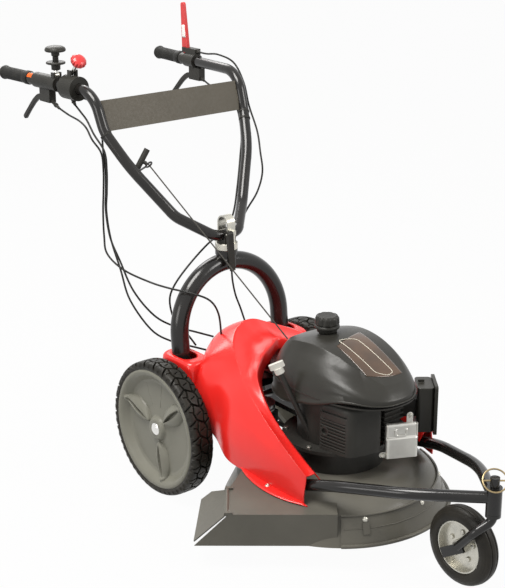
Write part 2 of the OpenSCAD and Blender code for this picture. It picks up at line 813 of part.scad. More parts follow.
module discharge_chute() {
  back_z = chute_z + chute_deep * tan(chute_rise) - sheet;
  back_len = chute_roof_len * roof_shares[3][0] - sheet * 2;
  ear_y = -hinge_long - gap - hinge_ear;
  color(deck_grey) in_frame() difference() {
    union() {
      in_chute() rotate([90, 0, 0]) linear_extrude(height = sheet)
        polygon([[chute_chamfer, deck_z], [chute_len, deck_z], [chute_roof_len, chute_z], [0, chute_z],
          [0, deck_z + chute_chamfer]]);
      on_roof() translate([0, 0, -sheet]) linear_extrude(height = sheet)
        polygon([for (s = roof_shares) [chute_roof_len * s[0], -chute_deep * s[1]]]);
      in_chute() box([0, -chute_deep / 3, skirt_top_z - sheet], [sheet, 0, chute_z]);
      in_chute() translate([0, sheet - chute_deep, 0]) rotate([90, 0, 0]) linear_extrude(height = sheet)
        polygon([[0, skirt_top_z], [back_len, skirt_top_z], [back_len, back_z], [0, back_z]]);
      on_roof() for (y = [-hinge_ear, ear_y])
        box([chute_roof_len - hinge_ear, y, -knuckle_r], [hinge_x + knuckle_r, y + hinge_ear, knuckle_r]);
      on_roof() translate([hinge_x, 0, 0]) rotate([90, 0, 0]) cylinder(h = -ear_y, r = hinge_pin_r);
    }
    deck_form();
  }
}

// Flap over the outlet, hung from a pin along the roof's edge
module chute_flap() {
  knuckle_len = hinge_long - hinge_ear - gap;
  ear_room = knuckle_r * 1.5 + gap;
  color(deck_grey) in_frame() on_roof() translate([hinge_x, 0, 0]) difference() {
    union() {
      translate([0, -hinge_ear - gap, 0]) rotate([90, 0, 0]) cylinder(h = knuckle_len, r = knuckle_r);
      rotate([0, flap_slope, 0]) translate([0, 0, -sheet / 2]) linear_extrude(height = sheet)
        polygon([for (s = flap_shares) [flap_w * s[1], -chute_deep * s[0]]]);
    }
    translate([0, cut, 0]) rotate([90, 0, 0]) cylinder(h = chute_deep, r = hinge_pin_r + run_gap);
    translate([0, cut, 0]) rotate([90, 0, 0]) cylinder(h = hinge_ear + gap + cut, r = ear_room);
    translate([0, -hinge_long, 0]) rotate([90, 0, 0]) cylinder(h = hinge_ear + gap * 2, r = ear_room);
  }
}

// Side plates, the beam that carries the hoop, and the idler's tab and pin
module rear_chassis() {
  start_y = -deck_ahead * side_start_share;
  top_z = deck_top_z + side_up;
  low_z = deck_top_z - side_down;
  tab = idler_pin_r * 2;
  color(black) in_frame() difference() {
    union() {
      for (s = [-1, 1]) translate([s * side_x - side_t / 2, 0, 0]) rotate([90, 0, 90])
        linear_extrude(height = side_t) polygon([[start_y, deck_top_z], [-side_step, deck_top_z],
          [-side_step, low_z], [beam_y1, low_z], [beam_y1, top_z], [start_y, top_z]]);
      box([-beam_half, beam_y0, beam_z0], [beam_half, beam_y1, beam_top_z]);
      box([idler_at[0] - tab, idler_at[1] - tab, idler_tab_z],
        [side_x, idler_at[1] + tab, idler_tab_z + idler_tab]);
      translate([idler_at[0], idler_at[1], idler_tab_z]) cylinder(h = idler_pin_h, r = idler_pin_r);
    }
    translate([0, 0, axle_z]) bar_x(-track_w, track_w, axle_r + run_gap);
  }
}

module idler_arm() {
  low = idler_tab_z + idler_tab + gap;
  wheel_h = belt_z + belt_h - low + pulley_lip_h;
  color(steel) in_frame() translate([idler_at[0], idler_at[1], low]) difference() {
    rotate([0, 0, idler_turn]) {
      cylinder(h = idler_arm_t, r = idler_pin_r * 2);
      box([0, -idler_pin_r, 0], [idler_arm_len, idler_pin_r, idler_arm_t]);
      translate([idler_arm_len, 0, 0]) cylinder(h = wheel_h, r = idler_wheel_r);
    }
    translate([0, 0, -cut]) cylinder(h = idler_pin_h, r = idler_pin_r + run_gap);
  }
}

// Plane of the hoop, which leans back from the beam
module in_hoop() {
  translate([0, hoop_y, beam_top_z]) rotate([-hoop_lean, 0, 0]) children();
}

// Arched tube with the column that carries the handlebar's swivel
module hoop() {
  arc_z = hoop_rise - hoop_half_w;
  col_low = hoop_top_z - hoop_r / 2;
  color(black) in_frame() difference() {
    union() {
      difference() {
        in_hoop() union() {
          translate([0, 0, arc_z]) rotate([90, 0, 0]) rotate_extrude(angle = 180)
            translate([hoop_half_w, 0]) difference() {
              circle(r = hoop_r);
              circle(r = hoop_r - tube_wall);
            }
          for (s = [-1, 1]) run([s * hoop_half_w, 0, -hoop_r], [s * hoop_half_w, 0, arc_z],
            hoop_r, hoop_r - tube_wall);
        }
        box([-wheel_d, -wheel_d, 0], [wheel_d, wheel_d, beam_top_z]);
      }
      translate([0, col_y, col_low]) cylinder(h = col_top_z - col_low, r = col_r);
      translate([0, col_y, col_top_z - col_collar_h]) cylinder(h = col_collar_h, r = col_collar_r);
    }
    translate([0, col_y, pin_low_z - gap]) cylinder(h = col_top_z, r = pin_r + run_gap);
  }
}

// Normal of a grid of points at one of its places
function grid_normal(g, i, k) =
  unit(cross(g[min(i + 1, len(g) - 1)][k] - g[max(i - 1, 0)][k],
    g[i][min(k + 1, len(g[0]) - 1)] - g[i][max(k - 1, 0)]));

// Shell of even thickness over a grid of points
module grid_shell(g, wall) {
  n = len(g);
  m = len(g[0]);
  outer = [for (i = [0 : n - 1], k = [0 : m - 1]) g[i][k]];
  inner = [for (i = [0 : n - 1], k = [0 : m - 1]) g[i][k] - grid_normal(g, i, k) * wall];
  low = n * m;
  skin = [for (i = [0 : n - 2], k = [0 : m - 2]) let (a = i * m + k, b = a + 1, c = a + m, d = c + 1)
    each [[a, b, d], [a, d, c], [low + a, low + d, low + b], [low + a, low + c, low + d]]];
  ends = [for (k = [0 : m - 2]) let (a = k, c = (n - 1) * m + k)
    each [[a, low + a + 1, a + 1], [a, low + a, low + a + 1],
      [c, c + 1, low + c + 1], [c, low + c + 1, low + c]]];
  rims = [for (i = [0 : n - 2]) let (a = i * m, b = a + m - 1)
    each [[a, a + m, low + a + m], [a, low + a + m, low + a],
      [b, low + b + m, b + m], [b, low + b, low + b + m]]];
  polyhedron(points = concat(outer, inner), faces = concat(skin, ends, rims));
}

// Plastic body over the deck's rear half, with a crescent foot on the chute's roof
module fairing() {
  color(red) in_frame() union() {
    grid_shell(fairing_rings, fairing_wall);
    on_roof() translate(foot_at) rotate([0, 0, foot_turn]) linear_extrude(height = fairing_wall)
      intersection() {
        translate([0, foot_sag - foot_r]) circle(r = foot_r, $fn = 180);
        translate([-foot_r, -foot_lap]) square([foot_r * 2, foot_r]);
      }
  }
}

module hoop_foot_covers() {
  low = beam_top_z + gap;
  w = fairing_wall;
  color(red) in_frame() for (s = [0, 1]) mirror([s, 0, 0]) difference() {
    round_box([-foot_cover_out, foot_cover_y0, low], [-foot_cover_in, foot_cover_y1, foot_cover_z],
      foot_cover_round);
    round_box([w - foot_cover_out, foot_cover_y0 + w, low - cut],
      [-foot_cover_in - w, foot_cover_y1 - w, foot_cover_z - w], foot_cover_round - w);
    in_hoop() run([-hoop_half_w, 0, 0], [-hoop_half_w, 0, hoop_rise], hoop_r + gap);
  }
}

// Two bent tubes from the deck to the swivel head of the front wheel
module front_wishbone() {
  foot = wish_points[0];
  color(black) in_frame() difference() {
    union() {
      for (s = [-1, 1]) bent_rod([for (p = wish_points) [s * p[0], p[1], p[2]]], wish_bends, wish_r);
      for (s = [-1, 1]) translate([s * foot[0], foot[1], foot[2] - wish_r]) round_box(
        [-wish_foot_w / 2, -wish_foot_len / 2, 0],
        [wish_foot_w / 2, wish_foot_len / 2, wish_r * 1.5], wish_r / 2);
      translate([0, caster_y, head_z]) cylinder(h = head_h, r = head_r);
    }
    translate([0, caster_y, 0]) cylinder(h = stem_top_z * 2, r = stem_r + run_gap);
  }
}

module gearbox_housing() {
  color(black) in_frame() difference() {
    union() {
      box([-gear_box_half, -gear_box_y, gear_box_z], [gear_box_half, gear_box_y, beam_z0]);
      box([-nose_half, nose_front, gear_box_z], [nose_half, -gear_box_y, nose_top_z]);
    }
    translate([0, 0, axle_z]) bar_x(-track_w, track_w, axle_r + run_gap);
    translate([0, 0, axle_z]) bar_x(-axle_gear_half - gear_room, axle_gear_half + gear_room,
      axle_gear_r + gear_room);
    translate([0, input_y, gear_box_z + gear_room * 2]) cylinder(h = belt_z, r = input_r + run_gap);
  }
}

module drive_axle() {
  color(steel) in_frame() translate([0, 0, axle_z]) {
    bar_x(-axle_end_x, axle_end_x, axle_r);
    bar_x(-axle_gear_half, axle_gear_half, axle_gear_r);
  }
}

// Grooved pulley for the belt, about the Z axis
module pulley(r) {
  low = belt_z - gap - pulley_lip_h;
  translate([0, 0, low]) cylinder(h = belt_h + gap * 2 + pulley_lip_h * 2, r = r - gap);
  for (z = [low, belt_z + belt_h + gap]) translate([0, 0, z]) cylinder(h = pulley_lip_h, r = r + pulley_lip);
}

module input_shaft() {
  low = gear_box_z + gear_room * 2 + gap;
  color(steel) in_frame() translate([0, input_y, 0]) union() {
    translate([0, 0, low]) cylinder(h = belt_z + belt_h + pulley_lip_h * 2 - low, r = input_r);
    pulley(input_pulley_r);
  }
}

// Outline of the belt round both pulleys, grown by an offset
module belt_outline(grow) {
  a = crank_pulley_r + grow;
  b = input_pulley_r + grow;
  ny = (a - b) / (deck_ahead + input_y);
  nx = sqrt(1 - ny * ny);
  translate([0, -deck_ahead]) circle(r = a);
  translate([0, input_y]) circle(r = b);
  polygon([[a * nx, -deck_ahead + a * ny], [b * nx, input_y + b * ny], [-b * nx, input_y + b * ny],
    [-a * nx, -deck_ahead + a * ny]]);
}

module drive_belt() {
  color(rubber) in_frame() translate([0, 0, belt_z]) linear_extrude(height = belt_h) difference() {
    belt_outline(belt_t);
    belt_outline(0);
  }
}

module crankshaft() {
  holder_z = blade_z + blade_t;
  color(steel) in_frame() at_crank() union() {
    translate([0, 0, holder_z]) cylinder(h = crank_top_z - holder_z, r = crank_r);
    translate([0, 0, holder_z]) cylinder(h = holder_h, r = holder_r);
    translate([0, 0, blade_z - blade_bolt_h]) cylinder(h = blade_bolt_h, r = blade_bolt_r);
    translate([0, 0, blade_z - cut]) cylinder(h = blade_t + cut * 2, r = blade_bolt_r / 2);
    pulley(crank_pulley_r);
  }
}

module blade() {
  color(steel) in_frame() at_crank() difference() {
    intersection() {
      box([-blade_len / 2, -blade_w / 2, blade_z], [blade_len / 2, blade_w / 2, blade_z + blade_t]);
      cylinder(h = deck_top_z, r = blade_len / 2);
    }
    cylinder(h = deck_top_z, r = blade_bolt_r / 2);
  }
}

module flywheel() {
  color(steel) in_frame() at_crank() translate([0, 0, fly_z]) difference() {
    cylinder(h = fly_h, r = fly_r);
    translate([0, 0, -cut]) cylinder(h = fly_h + cut * 2, r = crank_r);
  }
}

module starter_pulley() {
  color(black) in_frame() at_crank() translate([0, 0, starter_z]) difference() {
    union() {
      cylinder(h = starter_h, r = starter_r - pulley_lip);
      for (z = [0, starter_h - pulley_lip_h]) translate([0, 0, z]) cylinder(h = pulley_lip_h, r = starter_r);
    }
    translate([0, 0, -cut]) cylinder(h = starter_h + cut * 2, r = starter_pin_r + run_gap);
  }
}

// Point of the top cover's outline at a share of its full size
function cover_point(share, i) = let (a = 360 * i / cover_steps, c = cos(a), s = sin(a))
  [cover_half_w * share * sign(c) * pow(abs(c), cover_bulge) * (1 - cover_taper_share * (1 - s) / 2),
  cover_half_l * share * sign(s) * pow(abs(s), cover_bulge)];
// Rise of the cover over its lip at a place along its length
cover_rise_list = [for (i = [0 : len(cover_rise_shares) - 1])
  [i / (len(cover_rise_shares) - 1), cover_rise_shares[i]]];
function cover_rise(y) = lookup((cover_half_l - y) / (cover_half_l * 2), cover_rise_list);
function cover_ring(share, h, grow, drop) = [for (i = [0 : cover_steps - 1]) let (p = cover_point(share, i))
  [p[0] * (1 - grow / cover_half_w), p[1] * (1 - grow / cover_half_l),
  cover_z + (cover_top_z - cover_z) * h * cover_rise(p[1]) - drop * min(h * 4, 1)]];

module cover_shell() {
  m = cover_steps;
  rings = [for (s = cover_ring_shares) cover_ring(s[0], s[1], 0, 0)];
  inner = [for (s = cover_ring_shares) cover_ring(s[0], s[1], cover_wall, cover_wall)];
  n = len(rings);
  low = n * m;
  points = concat([for (r = rings) each r], [for (r = inner) each r]);
  walls = [for (j = [0 : n - 2], i = [0 : m - 1])
    let (a = j * m + i, b = j * m + (i + 1) % m, c = a + m, d = b + m)
    each [[a, d, b], [a, c, d], [low + a, low + b, low + d], [low + a, low + d, low + c]]];
  lip = [for (i = [0 : m - 1]) let (b = (i + 1) % m) each [[i, b, low + b], [i, low + b, low + i]]];
  crown = [for (i = [1 : m - 2]) let (a = (n - 1) * m)
    each [[a, a + i + 1, a + i], [low + a, low + a + i, low + a + i + 1]]];
  polyhedron(points = points, faces = concat(walls, lip, crown));
}

// Top cover with the starter's pin inside and the bush that the rope leaves through
module engine_cover() {
  pin_rise = cover_rise(crank_at[1] - cover_mid[1]);
  pin_top_z = mix(cover_z, cover_top_z, pin_rise) - cover_wall / 2;
  color(black) in_frame() difference() {
    union() {
      translate(cover_mid) cover_shell();
      at_crank() translate([0, 0, starter_z]) cylinder(h = pin_top_z - starter_z, r = starter_pin_r);
      run(rope_out - rope_dir * rope_bush_len, rope_out, rope_bush_r);
    }
    translate([cap_at[0], cap_at[1], tank_z]) cylinder(h = cover_top_z, r = cap_neck_r + gap);
  }
}

// Base, flange, crankcase, shroud plate, finned cylinder and oil filler
module engine_block() {
  base_h = engine_z - deck_top_z;
  barrel_low = engine_z + barrel_up;
  color(black) in_frame() difference() {
    union() {
      at_crank() difference() {
        translate([0, 0, deck_top_z]) cylinder(h = base_h, r = base_r);
        translate([0, 0, deck_top_z - cut]) cylinder(h = base_h - base_wall, r = base_r - base_wall);
        box([-belt_slot_half, 0, deck_top_z - cut], [belt_slot_half, flange_r, engine_z - base_wall]);
      }
      at_crank() translate([0, 0, engine_z]) cylinder(h = flange_t, r = flange_r);
      at_crank() translate([0, 0, engine_z]) cylinder(h = cover_z - shroud_t - engine_z, r = case_r);
      translate([cover_mid[0], cover_mid[1], cover_z - shroud_t]) linear_extrude(height = shroud_t)
        polygon([for (i = [0 : cover_steps - 1]) cover_point(1, i)]);
      in_barrel() box([-barrel_half_w, -barrel_front, barrel_low],
        [barrel_half_w, -case_r / 2, barrel_low + barrel_h]);
      in_barrel() fins();
      run(oil_foot, oil_top, oil_tube_r);
    }
    at_crank() cylinder(h = cover_top_z, r = crank_r + run_gap);
    translate(oil_top) aim(oil_dir) translate([0, 0, -oil_plug_len])
      cylinder(h = oil_plug_len + cut, r = oil_plug_r + run_gap);
  }
}

// Layout of the engine's cylinder, ahead of the crankshaft and to the left
module in_barrel() {
  at_crank() translate([barrel_side, 0, 0]) children();
}

module fins() {
  low = engine_z + barrel_up;
  for (i = [0 : fin_count - 1]) let (z = mix(low, low + barrel_h - fin_t, i / (fin_count - 1)))
    box([-barrel_half_w - fin_out, -barrel_front - fin_out, z],
      [barrel_half_w + fin_out, -case_r / 2, z + fin_t]);
}

module oil_cap() {
  color(zinc) in_frame() translate(oil_top) aim(oil_dir) union() {
    translate([0, 0, gap - oil_plug_len]) cylinder(h = oil_plug_len, r = oil_plug_r);
    translate([0, 0, gap]) cylinder(h = oil_cap_h, r = oil_cap_r);
    translate([0, 0, gap + oil_cap_h]) round_box([-oil_cap_bar / 2, -oil_cap_r / 2, 0],
      [oil_cap_bar / 2, oil_cap_r / 2, oil_cap_h], oil_cap_r * 0.45);
  }
}

// Fuel tank under the top cover, with a neck for the cap
module fuel_tank() {
  w = cover_wall;
  half = [tank_half_w, tank_half_l, 0];
  color(black) in_frame() at_crank() difference() {
    union() {
      translate([tank_side, tank_back, tank_z]) round_box(-half, half + [0, 0, tank_h], cap_neck_r);
      translate([cover_side, cap_back, tank_z]) cylinder(h = cap_z - tank_z - gap, r = cap_neck_r);
    }
    translate([tank_side, tank_back, tank_z]) round_box([w, w, w] - half, half + [-w, -w, tank_h - w],
      cap_neck_r - w);
    translate([cover_side, cap_back, tank_z + w]) cylinder(h = cap_z, r = cap_neck_r - w);
  }
}

module fuel_cap() {
  color(black) in_frame() translate([cap_at[0], cap_at[1], cap_z]) union() {
    cylinder(h = cap_h - cap_step, r = fuel_cap_d / 2);
    cylinder(h = cap_h, r = fuel_cap_d / 2 - cap_step);
    translate([0, 0, -cap_plug]) cylinder(h = cap_plug + cut, r = cap_neck_r - cover_wall - run_gap);
  }
}

// Exhaust box with the port that joins it to the crankcase
module muffler() {
  color(steel) in_frame() difference() {
    translate(crank_at + [muffler_side, -muffler_ahead, engine_z + muffler_up]) union() {
      rotate([0, 0, muffler_turn]) bar_x(-muffler_len / 2, muffler_len / 2, muffler_r);
      rotate([-90, 0, 0]) cylinder(h = muffler_ahead / 2, r = port_r);
    }
    at_crank() cylinder(h = cover_top_z, r = case_r);
  }
}

// Louvred guard round the exhaust box
module muffler_guard() {
  side = guard_plan[1] - guard_plan[0];
  color(black) in_frame() difference() {
    translate(guard_at) difference() {
      linear_extrude(height = guard_h) polygon(guard_plan);
      translate([0, 0, -cut]) linear_extrude(height = guard_h - guard_wall + cut)
        polygon([guard_plan[0] + [guard_wall, 0] - side / 2, guard_plan[1] + [guard_wall, guard_wall],
          guard_plan[2] + [-guard_wall, guard_wall], [guard_w - guard_wall, guard_l / 2]]);
      rotate([0, 0, atan2(side[1], side[0])]) for (i = [1 : slat_count])
        box([guard_l / 8, -cut, guard_h * i / (slat_count + 2)],
          [guard_l * 0.7, guard_wall + cut, guard_h * i / (slat_count + 2) + slat_h]);
      translate([guard_w / 2, -guard_l * 0.8, guard_h / 2]) rotate([90, 0, 0])
        cylinder(h = guard_l / 2, r = hole_r);
    }
    at_crank() cylinder(h = cover_top_z, r = case_r + gap);
  }
}

// Pressed shield ahead of the cylinder, with a tab that reaches back to it
module heat_shield() {
  w = shield_wall;
  color(zinc) in_frame() difference() {
    translate(shield_at + [0, 0, engine_z - shield_low]) rotate([0, 0, shield_turn]) difference() {
      union() {
        round_box([0, 0, 0], [shield_w, shield_l, shield_h], w * 2);
        box([shield_tab, shield_l - w, shield_h - w], [shield_tab * 2, shield_l + shield_tab * 2, shield_h]);
        box([shield_tab * 2, shield_l - w, shield_h - w], [shield_tab * 3, shield_l, shield_h + shield_ear]);
      }
      box([w, w, -cut], [shield_w - w, shield_l + cut, shield_h - w]);
    }
    in_barrel() box([-barrel_half_w, -barrel_front, 0], [barrel_half_w, 0, cover_z]);
    in_barrel() fins();
  }
}

// Layout of the air filter, which stands across the engine's front left corner
module in_filter() {
  translate(filter_at + [0, 0, engine_z]) rotate([0, 0, filter_turn]) children();
}

module carburettor() {
  fin_x = barrel_side + barrel_half_w + fin_out;
  color(steel) in_frame() union() {
    in_filter() box([-carb_l, carb_back, carb_up], [0, carb_back + carb_w, carb_up + carb_h]);
    translate(crank_at + [0, carb_w + carb_back - filter_ahead, engine_z + carb_up + carb_h / 2])
      bar_x(fin_x, fin_x + stub_r * 2, stub_r);
  }
}

module air_filter_box() {
  w = cover_wall;
  color(black) in_frame() in_filter() translate([0, 0, filter_up]) union() {
    difference() {
      round_box([0, 0, 0], [filter_w, filter_l, filter_h], filter_round);
      round_box([w, w, w], [filter_w - w, filter_l - w, filter_h - w], filter_round - w);
    }
    box([filter_w / 2 - latch_w, filter_l / 2, filter_h - w], [filter_w / 2, filter_l / 2 + latch_t,
      filter_h + latch_h]);
  }
}

module air_filter_cover() {
  out = filter_cover_out;
  color(black) in_frame() in_filter() translate([filter_w, 0, filter_up])
    rotate([90, 0, 90]) linear_extrude(height = filter_cover_t) union() {
      translate([-out, 0]) square([filter_l + out * 2, filter_h]);
      translate([0, -out]) square([filter_l, filter_h + out * 2]);
      for (x = [0, filter_l], y = [0, filter_h]) translate([x, y]) circle(r = out);
    }
}

module fasteners() {
  color(zinc) in_frame() at_crank() for (i = [0 : bolt_count - 1])
    rotate([0, 0, bolt_turn + 360 * i / bolt_count])
    translate([flange_r - bolt_r * 1.6, 0, engine_z + flange_t]) cylinder(h = bolt_h, r = bolt_r, $fn = 6);
}

// Wheels, about the X axis through the wheel's middle
module rear_tyre() {
  ring_x(tyre_x0, tyre_x1, rim_r, wheel_r, tyre_shoulder);
}

// Leaf-shaped plate across the X axis, pointed along Z
module leaf(x0, x1, half_l, half_w) {
  r = (half_l * half_l + half_w * half_w) / (half_w * 2);
  intersection() {
    translate([0, r - half_w, 0]) bar_x(x0, x1, r);
    translate([0, half_w - r, 0]) bar_x(x0, x1, r);
  }
}

module rear_rim() {
  face_x = tyre_x1 - rim_dish;
  difference() {
    union() {
      ring_x(tyre_x0 + rim_setback, tyre_x1 - rim_setback, rim_r - rim_edge, rim_r, rim_setback);
      bar_x(face_x - rim_disc, face_x, rim_r - rim_edge + cut);
      bar_x(tyre_x0 + rim_setback, axle_end_x + gap, rim_hub_r);
      for (i = [0 : 2]) rotate([leaf_turn + 120 * i, 0, 0]) translate([0, 0, leaf_at])
        leaf(face_x - rim_disc, face_x + leaf_h, leaf_half_l, leaf_half_w);
    }
    for (i = [0 : 2]) rotate([leaf_turn + 120 * i, 0, 0]) translate([0, 0, leaf_at])
      leaf(face_x, face_x + leaf_h + cut, slot_half_l, slot_half_w);
    bar_x(0, tyre_x1 + cut, axle_r + run_gap);
  }
}

module hub_cap() {
  intersection() {
    bar_x(axle_end_x + gap, tyre_x1, hub_cap_r);
    translate([tyre_x1 - hub_cap_r * 2, 0, 0]) sphere(r = hub_cap_r * 2, $fn = 180);
  }
}

// Places its children on the rear axle, on the left or, mirrored, on the right
module at_axle(right) {
  in_frame() translate([0, 0, axle_z]) mirror([right, 0, 0]) children();
}

module right_tyre() {
  color(rubber) at_axle(1) rear_tyre();
}

module left_tyre() {
  color(rubber) at_axle(0) rear_tyre();
}

module right_rim() {
  color(rim_grey) at_axle(1) rear_rim();
}

module left_rim() {
  color(rim_grey) at_axle(0) rear_rim();
}

module right_hub_cap() {
  color(zinc) at_axle(1) hub_cap();
}

module left_hub_cap() {
  color(zinc) at_axle(0) hub_cap();
}

// Places its children at the front wheel's middle
module at_caster() {
  translate([0, -wheelbase, caster_r]) children();
}

module caster_tyre() {
  color(rubber) in_frame() at_caster()
    ring_x(-caster_w / 2, caster_w / 2, caster_rim_r, caster_r, caster_shoulder);
}

module caster_rim() {
  half = caster_w / 2 - caster_rim_wall;
  color(zinc) in_frame() at_caster() difference() {
    union() {
      ring_x(-half, half, caster_rim_r - caster_rim_wall, caster_rim_r, cut);
      bar_x(-caster_rim_wall, caster_rim_wall, caster_rim_r - caster_rim_wall + cut);
      bar_x(-half, half, caster_hub_r);
    }
    bar_x(-caster_w, caster_w, caster_axle_r + run_gap);
  }
}

// Stem, one-sided arm and axle of the front wheel
module caster_fork() {
  collar_z = head_z - gap - fork_collar_h;
  stem_low_z = head_z - gap - fork_collar_h / 4;
  color(black) in_frame() difference() {
    union() {
      translate([0, caster_y, stem_low_z]) cylinder(h = stem_top_z - stem_low_z, r = stem_r);
      translate([0, caster_y, collar_z]) cylinder(h = fork_collar_h, r = head_r);
      bent_rod(fork_points, fork_bends, fork_tube_r);
      at_caster() translate([fork_x, 0, 0]) rotate([fork_plate_turn, 0, 0])
        box([-fork_plate / 2, -fork_plate_len / 2, -fork_plate_w / 2],
          [fork_plate / 2, fork_plate_len / 2, fork_plate_w / 2]);
      at_caster() bar_x(fork_x, caster_w / 2, caster_axle_r);
    }
    translate([0, caster_y, lynch_z]) rotate([0, 0, lynch_turn]) bar_x(-head_r, head_r, lynch_r + run_gap);
  }
}

// Pin through the stem with its spring ring folded down over the head
module lynch_pin() {
  color(zinc) in_frame() translate([0, caster_y, lynch_z]) rotate([0, 0, lynch_turn]) union() {
    bar_x(-lynch_ring_r, lynch_ring_r, lynch_r);
    rotate([lynch_tilt, 0, 0]) rotate_extrude() translate([lynch_ring_r, 0]) circle(r = lynch_r);
  }
}

// Block that turns on the column and holds the handlebar
module swivel_head() {
  color(black) in_frame() translate([0, col_y, 0]) difference() {
    union() {
      translate([0, 0, pin_low_z]) cylinder(h = ring_top_z - pin_low_z + cut, r = pin_r);
      box([-saddle_half, -strap_in, ring_top_z], [saddle_half, strap_in, bar_low_z]);
    }
    translate([0, 0, bar_low_z]) bar_x(-saddle_half - cut, saddle_half + cut, bar_r + run_gap);
  }
}

module swivel_ring() {
  color(zinc) in_frame() translate([0, col_y, col_top_z + gap]) difference() {
    cylinder(h = ring_h - gap, r = col_collar_r);
    translate([0, 0, -cut]) cylinder(h = ring_h + cut * 2, r = pin_r);
  }
}

// Strap over the handlebar, with the lug and pin of the clamp lever
module clamp_strap() {
  reach = strap_in + strap_t;
  arc_z = bar_low_z + strap_rise;
  color(zinc) in_frame() translate([0, col_y, 0]) union() {
    translate([-strap_w / 2, 0, 0]) rotate([90, 0, 90]) linear_extrude(height = strap_w) union() {
      for (y = [-reach, strap_in]) translate([y, ring_top_z]) square([strap_t, arc_z - ring_top_z]);
      translate([0, arc_z]) intersection() {
        difference() {
          circle(r = reach);
          circle(r = strap_in);
        }
        translate([-reach, 0]) square([reach * 2, reach]);
      }
    }
    box([-lug_w / 2, lug_y - col_y - lug_pin_r, lug_z - lug_w / 2],
      [lug_w / 2, -strap_in, lug_z + lug_w / 2]);
    translate([0, lug_y - col_y, lug_z]) bar_x(-lug_w / 2 - gap * 2 - clamp_lever_w, 0, lug_pin_r);
  }
}

module clamp_lever() {
  color(black) in_frame() translate([-lug_w / 2 - gap, lug_y, lug_z]) difference() {
    union() {
      bar_x(-clamp_lever_w, 0, clamp_eye_r);
      translate([-clamp_lever_w, 0, 0]) rotate([90, 0, 90]) linear_extrude(height = clamp_lever_w)
        polygon([[-clamp_eye_r, 0], [-clamp_lever_t - lug_pin_r, -clamp_lever_len],
          [-clamp_lever_t, -clamp_lever_len], [lug_pin_r, -clamp_eye_r], [lug_pin_r, 0]]);
    }
    bar_x(-clamp_lever_w - cut, cut, lug_pin_r + run_gap);
  }
}

// Bent handlebar with the eye that guides the starter's rope
module handlebar_tube() {
  arm = unit(guide_eye - guide_foot);
  color(black) in_frame() union() {
    bent_tube(bar_points, bar_bends, bar_r, bar_r - tube_wall);
    run(guide_foot + arm * (bar_r - tube_wall / 2), guide_eye - arm * guide_ring_r, guide_wire_r);
    translate(guide_eye) aim(rope_dir)
      rotate_extrude() translate([guide_ring_r, 0]) circle(r = guide_wire_r);
  }
}

// Plate between the arms, whose ends are shaped to the tube that they are welded to
module cross_plate() {
  low = plate_half - plate_splay / 2;
  top = plate_half + plate_splay / 2;
  color(plate_grey) in_frame() difference() {
    translate([0, plate_mid[1], plate_mid[2]]) rotate([90 - plate_lean, 0, 0])
      translate([0, 0, -plate_t / 2]) linear_extrude(height = plate_t)
        polygon([[-low, -plate_h / 2], [low, -plate_h / 2], [top, plate_h / 2], [-top, plate_h / 2]]);
    bent_rod(bar_points, bar_bends, bar_r);
  }
}

// Repeats its children for the left-hand side
module both_sides() {
  children();
  mirror([1, 0, 0]) children();
}

module grips() {
  color(rubber) in_frame() both_sides() {
    difference() {
      run(on_run(-grip_cap), on_run(grip_len - grip_cap), grip_d / 2);
      run(on_run(0), on_run(grip_len), bar_r);
    }
  }
}

// Two cheeks either side of a lever, from a lower to an upper corner of one cheek beside the lever
module cheeks(half, a, b) {
  for (x = [-half - gap - cheek_t, half + gap]) box([x, a[0], a[1]], [x + cheek_t, b[0], b[1]]);
}

// Clamp round the right-hand run with two cheeks that hold a hand lever's pin
module lever_clamp(from, long) {
  half = lever_t / 2;
  out = half + gap + cheek_t;
  top = pivot_drop - bar_r - sleeve_t / 2;
  run(on_run(from), on_run(from + long), sleeve_r, bar_r);
  translate(on_run(pivot_d) - [0, 0, pivot_drop]) {
    cheeks(half, [-cheek_w / 2, -lever_eye], [cheek_w / 2, top]);
    bar_x(-out, out, pivot_r);
    box([-out, -cheek_w / 2 - cheek_t * 3, -lever_eye], [out, -cheek_w / 2, top]);
  }
}

// Two cheeks and a pin above the run for a thumb lever
module lever_post(d, rise, foot) {
  out = post_eye + gap + cheek_t;
  translate(on_run(d) + [0, 0, rise]) {
    cheeks(post_eye, [-post_eye, foot - rise], [post_eye, post_eye]);
    bar_x(-out, out, post_pin_r);
  }
}

module right_control_bracket() {
  color(black) in_frame() union() {
    difference() {
      lever_clamp(bracket_from, bracket_len);
      translate(on_run(throttle_d) + [0, 0, throttle_rise])
        bar_x(-post_eye - gap, post_eye + gap, post_eye + gap);
    }
    lever_post(throttle_d, throttle_rise, bar_r + sleeve_t / 2);
  }
}

module left_control_bracket() {
  half = safety_t / 2;
  out = half + gap + cheek_t;
  color(black) in_frame() mirror([1, 0, 0]) union() {
    difference() {
      lever_clamp(bracket_from, bracket_len / 2);
      translate(on_run(safety_d) + [0, 0, safety_rise]) bar_x(-half - gap, half + gap, safety_eye + gap);
    }
    translate(on_run(safety_d) + [0, 0, safety_rise]) {
      box([-out, -safety_eye - safety_block, bar_r + sleeve_t / 2 - safety_rise],
        [out, -safety_eye - gap, safety_eye / 2]);
      cheeks(half, [-safety_eye - cheek_t, -safety_eye / 2], [safety_eye / 2, safety_eye / 2]);
      bar_x(-out, out, safety_pin_r);
    }
  }
}

